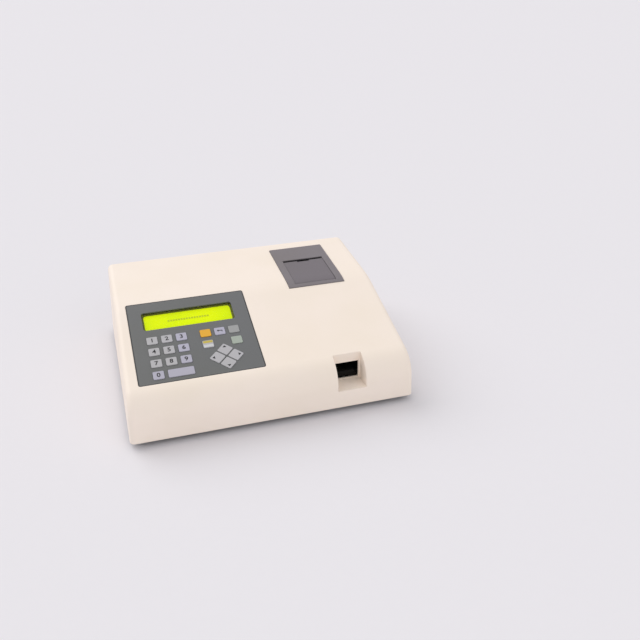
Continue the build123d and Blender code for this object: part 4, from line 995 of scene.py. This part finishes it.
@dataclass
class Display:
    """Backlit display with its window, a dark olive rim of painted shade where the recess's wall
    shades the film, and a faint row of cells.
    """

    yellow: Finish = LitDisplay("Backlit film", shade(222, 238, 2))
    window: Finish = ClearPane("Clear window", (0.5, 0.58, 0.08), 0.05)
    metal: Finish = WorkedMetal("Black frame", shade(40, 40, 40), 0.45, 0.5)
    board: Finish = CircuitBoard("Display board", shade(20, 92, 48))
    # painted shade: dark olive ring standing in for the shade that the window's recess casts on
    # the film
    rim: Finish = PrintedInk("Olive painted shade rim", shade(104, 110, 24), 0.1)
    cells: Finish = PrintedInk("Display cells", shade(200, 216, 6), 0.05)
    lens_margin: float = 2.0 * MM
    rim_overlap: float = 1.5 * MM
    rim_width: float = 2.2 * MM
    rim_corner: float = 3.6 * MM
    lens_corner: float = 1.0 * MM
    cell_count: int = 16
    cell_pitch: float = 3.1 * MM
    cell_width: float = 2.3 * MM
    cell_height: float = 2.8 * MM

    def build(self, shop: Workshop) -> None:
        """Dress the display and add its painted shade rim and its cells.

        Args:
            shop: keeps the materials.
        """
        for node, finish in (("display_glass", self.yellow), ("display_window", self.window),
                             ("display_frame", self.metal), ("display_board", self.board)):
            shop.dress(node, finish)
        film = Face.of("display_glass", CONSOLE)
        opening = Face.of("display_window", CONSOLE)
        width = opening.width - 2 * self.lens_margin
        length = opening.length - 2 * self.lens_margin
        outer = rounded_outline(width + 2 * self.rim_overlap, length + 2 * self.rim_overlap,
                                self.lens_corner)
        inner = rounded_outline(width - 2 * self.rim_width, length - 2 * self.rim_width,
                                self.rim_corner)
        # painted shade: a dark olive ring laid on the film round the lit area
        rim = ring_piece("display_painted_shade_rim", outer, inner, PRINT_THICK)
        settle(rim, film.place(lift=PRINT_THICK), HOUSING,
               shop.material(self.rim))
        row = []
        for i in range(self.cell_count):
            x = (i - (self.cell_count - 1) / 2) * self.cell_pitch
            half_w, half_h = self.cell_width / 2, self.cell_height / 2
            row.append([(x - half_w, -half_h), (x + half_w, -half_h), (x + half_w, half_h),
                        (x - half_w, half_h)])
        cells = flat_piece("display_cells", row, PRINT_THICK)
        settle(cells, film.place(lift=PRINT_THICK), HOUSING,
               shop.material(self.cells))


def key_plastic(title: str, colour: Colour, roughness: float = 0.45) -> MouldedPlastic:
    """Smooth plastic of a key cap."""
    return MouldedPlastic(title, colour, roughness, grain_scale=3000.0, grain_depth=0.00001,
                          aged=0.94, wear=0.3, edge=0.0003, dust=0.05)


@dataclass
class Keypad:
    """Number keys, function keys and arrow keys, with their printed marks."""

    grey: Finish = key_plastic("Grey key", shade(186, 185, 192))
    lilac: Finish = key_plastic("Lilac key", shade(182, 180, 200))
    orange: Finish = key_plastic("Orange key", shade(236, 176, 40), 0.42)
    middle: Finish = key_plastic("Mid grey key", shade(160, 161, 162))
    green: Finish = key_plastic("Grey green key", shade(168, 178, 168))
    black: Finish = PrintedInk("Black ink", shade(18, 18, 22))
    yellow: Finish = PrintedInk("Yellow ink", shade(206, 186, 74), 0.25)
    white: Finish = PrintedInk("Pale ink", shade(214, 216, 218), 0.2)
    mat: Finish = SoftRubber("Keypad mat", shade(150, 152, 156), 0.6)
    board: Finish = CircuitBoard("Keypad board", shade(18, 84, 46))
    digit_size: float = 8.2 * MM
    digit_weight: float = 0.2 * MM
    tip_size: float = 3.0 * MM
    tip_flare: float = 0.75     # half the base of an arrow mark, in tip sizes
    tip_inset: float = 1.8      # from the key's edge to that base, in tip sizes
    band_length: float = 3.6 * MM
    band_sides: float = 0.8 * MM
    band_end: float = 0.6 * MM
    band_corner: float = 0.5 * MM
    arrows: dict[str, Pointing] = field(default_factory=lambda: {
        "key_arrow_up": Pointing.UP, "key_arrow_down": Pointing.DOWN,
        "key_arrow_left": Pointing.LEFT, "key_arrow_right": Pointing.RIGHT})

    def build(self, shop: Workshop) -> None:
        """Dress the keys and print their marks.

        Args:
            shop: keeps the materials.
        """
        for number in range(10):
            self.number_key(shop, number)
        plain = {"key_start": self.orange, "key_upper_middle": self.lilac,
                 "key_upper_right": self.middle, "key_lower_left": self.grey,
                 "key_lower_right": self.green, "key_wide": self.lilac}
        for node, finish in plain.items():
            shop.dress(node, finish)
            soften(node, KEY_BEVEL)
        for node, way in self.arrows.items():
            self.arrow_key(shop, node, way)
        self.bent_arrow(shop, "key_upper_middle")
        self.bands(shop, "key_lower_left")
        shop.dress("keypad_mat", self.mat)
        shop.dress("keypad_board", self.board)

    def number_key(self, shop: Workshop, number: int) -> None:
        """Dress one number key and print its digit.

        Args:
            shop: keeps the materials.
            number: the key's number.
        """
        node = f"key_{number}"
        shop.dress(node, self.grey if number % 3 else self.lilac)
        soften(node, KEY_BEVEL)
        text = bpy.data.curves.new(f"digit_{number}", "FONT")
        text.body = str(number)
        text.size = self.digit_size
        text.align_x = "CENTER"
        text.align_y = "CENTER"
        text.extrude = PRINT_THICK / 2
        text.offset = self.digit_weight
        piece = bpy.data.objects.new(f"digit_{number}", text)
        bpy.context.scene.collection.objects.link(piece)
        place = Face.of(node, CONSOLE).place(lift=PRINT_THICK / 2)
        settle(piece, place, node, shop.material(self.black))

    def arrow_key(self, shop: Workshop, node: str, way: Pointing) -> None:
        """Dress one arrow key and print the mark at its outer tip.

        Args:
            shop: keeps the materials.
            node: the key.
            way: where its arrow points.
        """
        shop.dress(node, self.grey)
        soften(node, KEY_BEVEL)
        face = Face.of(node, CONSOLE)
        ahead = Vector(way.value)
        side = Vector((-ahead.y, ahead.x))
        size = self.tip_size
        corners = [ahead * size, side * size * self.tip_flare, -side * size * self.tip_flare]
        mark = flat_piece(node.replace("key_", "mark_"), [[tuple(corner) for corner in corners]],
                          PRINT_THICK)
        reach = face.width / 2 - self.tip_inset * size
        settle(mark, face.place(ahead.x * reach, ahead.y * reach), node,
               shop.material(self.black))

    def bent_arrow(self, shop: Workshop, node: str) -> None:
        """Print a plain bent arrow on a key, from outlines in millimetres.

        Args:
            shop: keeps the materials.
            node: the key.
        """
        head = [(-3.4, 0.6), (-1.2, 2.4), (-1.2, -1.2)]
        bar = [(-1.2, 1.1), (3.2, 1.1), (3.2, 0.1), (-1.2, 0.1)]
        hook = [(2.2, 0.1), (3.2, 0.1), (3.2, -1.6), (2.2, -1.6)]
        outlines = [[(x * MM, y * MM) for x, y in outline] for outline in (head, bar, hook)]
        mark = flat_piece("mark_return", outlines, PRINT_THICK)
        settle(mark, Face.of(node, CONSOLE).place(), node, shop.material(self.black))

    def bands(self, shop: Workshop, node: str) -> None:
        """Print a yellow and a pale band across a key.

        Args:
            shop: keeps the materials.
            node: the key.
        """
        face = Face.of(node, CONSOLE)
        for name, ink, side in (("band_yellow", self.yellow, 1), ("band_pale", self.white, -1)):
            outline = rounded_outline(face.width - self.band_sides, self.band_length,
                                      self.band_corner)
            band = flat_piece(name, [outline], PRINT_THICK)
            reach = face.length / 2 - self.band_length / 2 - self.band_end
            place = face.place(up=side * reach)
            settle(band, place, node, shop.material(ink))


@dataclass
class StripPort:
    """Strip tray, its guide and drive, and the optical head."""

    black: Finish = MouldedPlastic("Black plastic", shade(11, 10, 10), roughness=0.72,
                                   grain_scale=1800.0, grain_depth=0.00003, aged=0.9,
                                   wear=0.12, edge=0.0004, dust=0.02, specular=0.15)
    gear: Finish = MouldedPlastic("White gear", shade(226, 224, 216), 0.4)
    can: Finish = WorkedMetal("Motor can", shade(120, 120, 122), 0.4)
    glass: Finish = ClearPane("Lens glass", (0.85, 0.9, 0.95), 0.25)
    board: Finish = CircuitBoard("Optics board", shade(18, 84, 46))

    def build(self, shop: Workshop) -> None:
        """Dress the tray and what moves and reads it.

        Args:
            shop: keeps the materials.
        """
        for node, finish in (("strip_tray", self.black), ("tray_guide", self.black),
                             ("optical_head", self.black), ("tray_pinion", self.gear),
                             ("tray_motor", self.can), ("optical_lens", self.glass),
                             ("optical_board", self.board)):
            shop.dress(node, finish)


@dataclass
class Printer:
    """Thermal printer under its bezel and door."""

    grey: Finish = MouldedPlastic("Printer grey", shade(123, 117, 122), grain_scale=1900.0,
                                  grain_depth=0.00003, aged=0.95, wear=0.2, edge=0.0004,
                                  dust=0.05)
    door: Finish = MouldedPlastic("Printer door grey", shade(112, 106, 112), grain_scale=1900.0,
                                  grain_depth=0.00003, aged=0.95, wear=0.2, edge=0.0004,
                                  dust=0.05)
    frame_plastic: Finish = MouldedPlastic("Printer frame plastic", shade(40, 40, 42), 0.6)
    steel: Finish = WorkedMetal("Shaft steel", shade(176, 176, 178), 0.25)
    blade: Finish = WorkedMetal("Tear bar steel", shade(90, 90, 92), 0.3)
    ceramic: Finish = MouldedPlastic("Print head ceramic", shade(70, 68, 60), 0.35)
    can: Finish = WorkedMetal("Printer motor can", shade(120, 120, 122), 0.4)
    gear: Finish = MouldedPlastic("Printer gear", shade(226, 224, 216), 0.4)
    platen: Finish = SoftRubber("Platen rubber", shade(46, 46, 48), 0.7)
    pinion: Finish = WorkedMetal("Pinion brass", shade(200, 168, 92), 0.35)

    def build(self, shop: Workshop) -> None:
        """Dress the printer.

        Args:
            shop: keeps the materials.
        """
        low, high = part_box("paper_roll")
        paper = WoundPaper("Thermal paper", shade(238, 238, 234), (low.y + high.y) / 2,
                           (low.z + high.z) / 2)
        for node, finish in (("printer_bezel", self.grey), ("paper_door", self.door),
                             ("door_pin", self.steel), ("printer_frame", self.frame_plastic),
                             ("printer_motor", self.can), ("print_head", self.ceramic),
                             ("tear_bar", self.blade), ("paper_roll", paper),
                             ("roll_spindle", self.gear), ("platen_roller", self.platen),
                             ("platen_shaft", self.steel), ("platen_gear", self.gear),
                             ("motor_pinion", self.pinion)):
            shop.dress(node, finish)


@dataclass
class RearConnectors:
    """Mains inlet, switch with its rocker, and serial socket."""

    black: Finish = MouldedPlastic("Connector black", shade(30, 30, 31), 0.5)
    rocker: Finish = MouldedPlastic("Rocker black", shade(26, 26, 27), 0.35)
    shell: Finish = WorkedMetal("Serial shell nickel", shade(196, 194, 188), 0.3)
    ink: Finish = PrintedInk("Mains border ink", shade(70, 70, 72))
    corner: float = 2.6 * MM
    line: float = 0.5 * MM

    def build(self, shop: Workshop) -> None:
        """Dress the connectors.

        Args:
            shop: keeps the materials.
        """
        shop.dress("power_inlet", self.black)
        shop.dress("switch_body", self.black)
        shop.dress("power_rocker", self.rocker)
        shop.dress("serial_port", self.shell)
        self.border(shop)

    def border(self, shop: Workshop) -> None:
        """Print a thin border round the switch and the inlet on the rear plate.

        Args:
            shop: keeps the materials.
        """
        low = [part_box(node)[0] for node in ("switch_body", "power_inlet")]
        high = [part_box(node)[1] for node in ("switch_body", "power_inlet")]
        face = Face.of("rear_plate", Vector((0.0, 1.0, 0.0)), Vector((-1.0, 0.0, 0.0)))
        left, right = min(v.x for v in low), max(v.x for v in high)
        bottom, top = min(v.z for v in low), max(v.z for v in high)
        width, length = right - left + 2 * self.corner, top - bottom + self.corner
        outer = rounded_outline(width, length, self.corner)
        inner = rounded_outline(width - 2 * self.line, length - 2 * self.line,
                                self.corner - self.line)
        border = ring_piece("mains_border", outer, inner, PRINT_THICK)
        spot = Vector(((left + right) / 2, face.middle.y, (bottom + top) / 2))
        place = Matrix.Translation(spot - face.middle) @ face.place()
        settle(border, place, HOUSING, shop.material(self.ink))


@dataclass
class Electronics:
    """Main board, its parts and the power supply."""

    board: Finish = CircuitBoard("Main board", shade(16, 80, 44), 220.0)
    parts: Finish = MouldedPlastic("Board parts", shade(36, 36, 38), 0.45)
    can: Finish = WorkedMetal("Supply case", shade(170, 170, 170), 0.4)

    def build(self, shop: Workshop) -> None:
        """Dress the boards inside.

        Args:
            shop: keeps the materials.
        """
        shop.dress("main_board", self.board)
        shop.dress("board_parts", self.parts)
        shop.dress("power_supply", self.can)


# ---- studio
@dataclass
class Studio:
    """Pale floor, soft light and the camera."""

    paper: Finish = FloorPaper("Floor paper", shade(236, 234, 240))
    backdrop: Colour = shade(231, 227, 233)
    floor_size: float = 16.0
    ambient: float = 0.66
    ambient_colour: Colour = (1.0, 0.995, 0.985)
    camera_place: tuple[float, float, float] = (-0.162, -0.831, 0.536)
    camera_down: float = 29.35
    camera_yaw: float = 16.95
    lens: float = 43.54
    sensor: float = 36.0

    def build(self, shop: Workshop) -> None:
        """Set up the studio.

        Args:
            shop: keeps the materials.
        """
        self.floor(shop)
        self.world()
        self.lamp("key_light", strength=1.16, tilt=(-38.0, -32.0), spread=50.0,
                  colour=(1.0, 0.985, 0.965))
        self.lamp("fill_light", strength=0.36, tilt=(52.0, 28.0), spread=60.0,
                  colour=(1.0, 0.99, 0.975))
        self.camera()
        view = bpy.context.scene.view_settings
        view.view_transform = "Standard"

    def floor(self, shop: Workshop) -> None:
        """Lay the pale floor.

        Args:
            shop: keeps the materials.
        """
        shape = bmesh.new()
        bmesh.ops.create_grid(shape, x_segments=2, y_segments=2, size=self.floor_size / 2)
        floor = finished("floor", shape)
        floor.data.materials.append(shop.material(self.paper))

    def world(self) -> None:
        """Light the scene evenly, with a pale backdrop for what is seen or mirrored."""
        world = bpy.data.worlds.new("studio")
        bpy.context.scene.world = world
        world.use_nodes = True
        nodes = NodeTree(world.node_tree)
        light = world.node_tree.nodes["Background"]
        light.inputs["Color"].default_value = (*self.ambient_colour, 1.0)
        light.inputs["Strength"].default_value = self.ambient
        seen = nodes.node("ShaderNodeBackground")
        seen.inputs["Color"].default_value = (*self.backdrop, 1.0)
        ray = nodes.node("ShaderNodeLightPath")
        mirrored = nodes.node("ShaderNodeMath", operation="ADD")
        nodes.link(ray.outputs["Is Glossy Ray"], mirrored.inputs[0])
        nodes.link(ray.outputs["Is Transmission Ray"], mirrored.inputs[1])
        shown = nodes.node("ShaderNodeMath", operation="ADD", use_clamp=True)
        nodes.link(ray.outputs["Is Camera Ray"], shown.inputs[0])
        nodes.link(mirrored.outputs[0], shown.inputs[1])
        mix = nodes.node("ShaderNodeMixShader")
        nodes.link(shown.outputs[0], mix.inputs[0])
        nodes.link(light.outputs[0], mix.inputs[1])
        nodes.link(seen.outputs[0], mix.inputs[2])
        nodes.link(mix.outputs[0], world.node_tree.nodes["World Output"].inputs["Surface"])

    def lamp(self, name: str, strength: float, tilt: tuple[float, float], spread: float,
             colour: Colour) -> None:
        """Add a soft distant lamp.

        Args:
            name: the lamp's name.
            strength: its strength.
            tilt: turn about X, then about Y, in degrees, from straight down.
            spread: how wide the light's source looks, in degrees.
            colour: its colour.
        """
        light = bpy.data.lights.new(name, "SUN")
        light.energy = strength
        light.angle = math.radians(spread)
        light.color = colour
        lamp = bpy.data.objects.new(name, light)
        lamp.rotation_euler = (math.radians(tilt[0]), math.radians(tilt[1]), 0.0)
        bpy.context.scene.collection.objects.link(lamp)

    def camera(self) -> None:
        """Stand the camera at the photograph's place."""
        data = bpy.data.cameras.new("camera")
        data.lens = self.lens
        data.sensor_width = self.sensor
        camera = bpy.data.objects.new("camera", data)
        camera.location = self.camera_place
        camera.rotation_euler = (math.radians(90 - self.camera_down), 0.0,
                                 math.radians(-self.camera_yaw))
        bpy.context.scene.collection.objects.link(camera)
        bpy.context.scene.camera = camera


def main() -> None:
    """Build every sub-assembly, then the studio."""
    logging.basicConfig(level=logging.INFO, format="%(name)s %(message)s")
    shop = Workshop()
    for assembly in (Housing(), ControlPanel(), Display(), Keypad(), StripPort(), Printer(),
                     RearConnectors(), Electronics(), Studio()):
        assembly.build(shop)
        log.info("built %s", type(assembly).__name__)


if __name__ == "__main__":
    main()
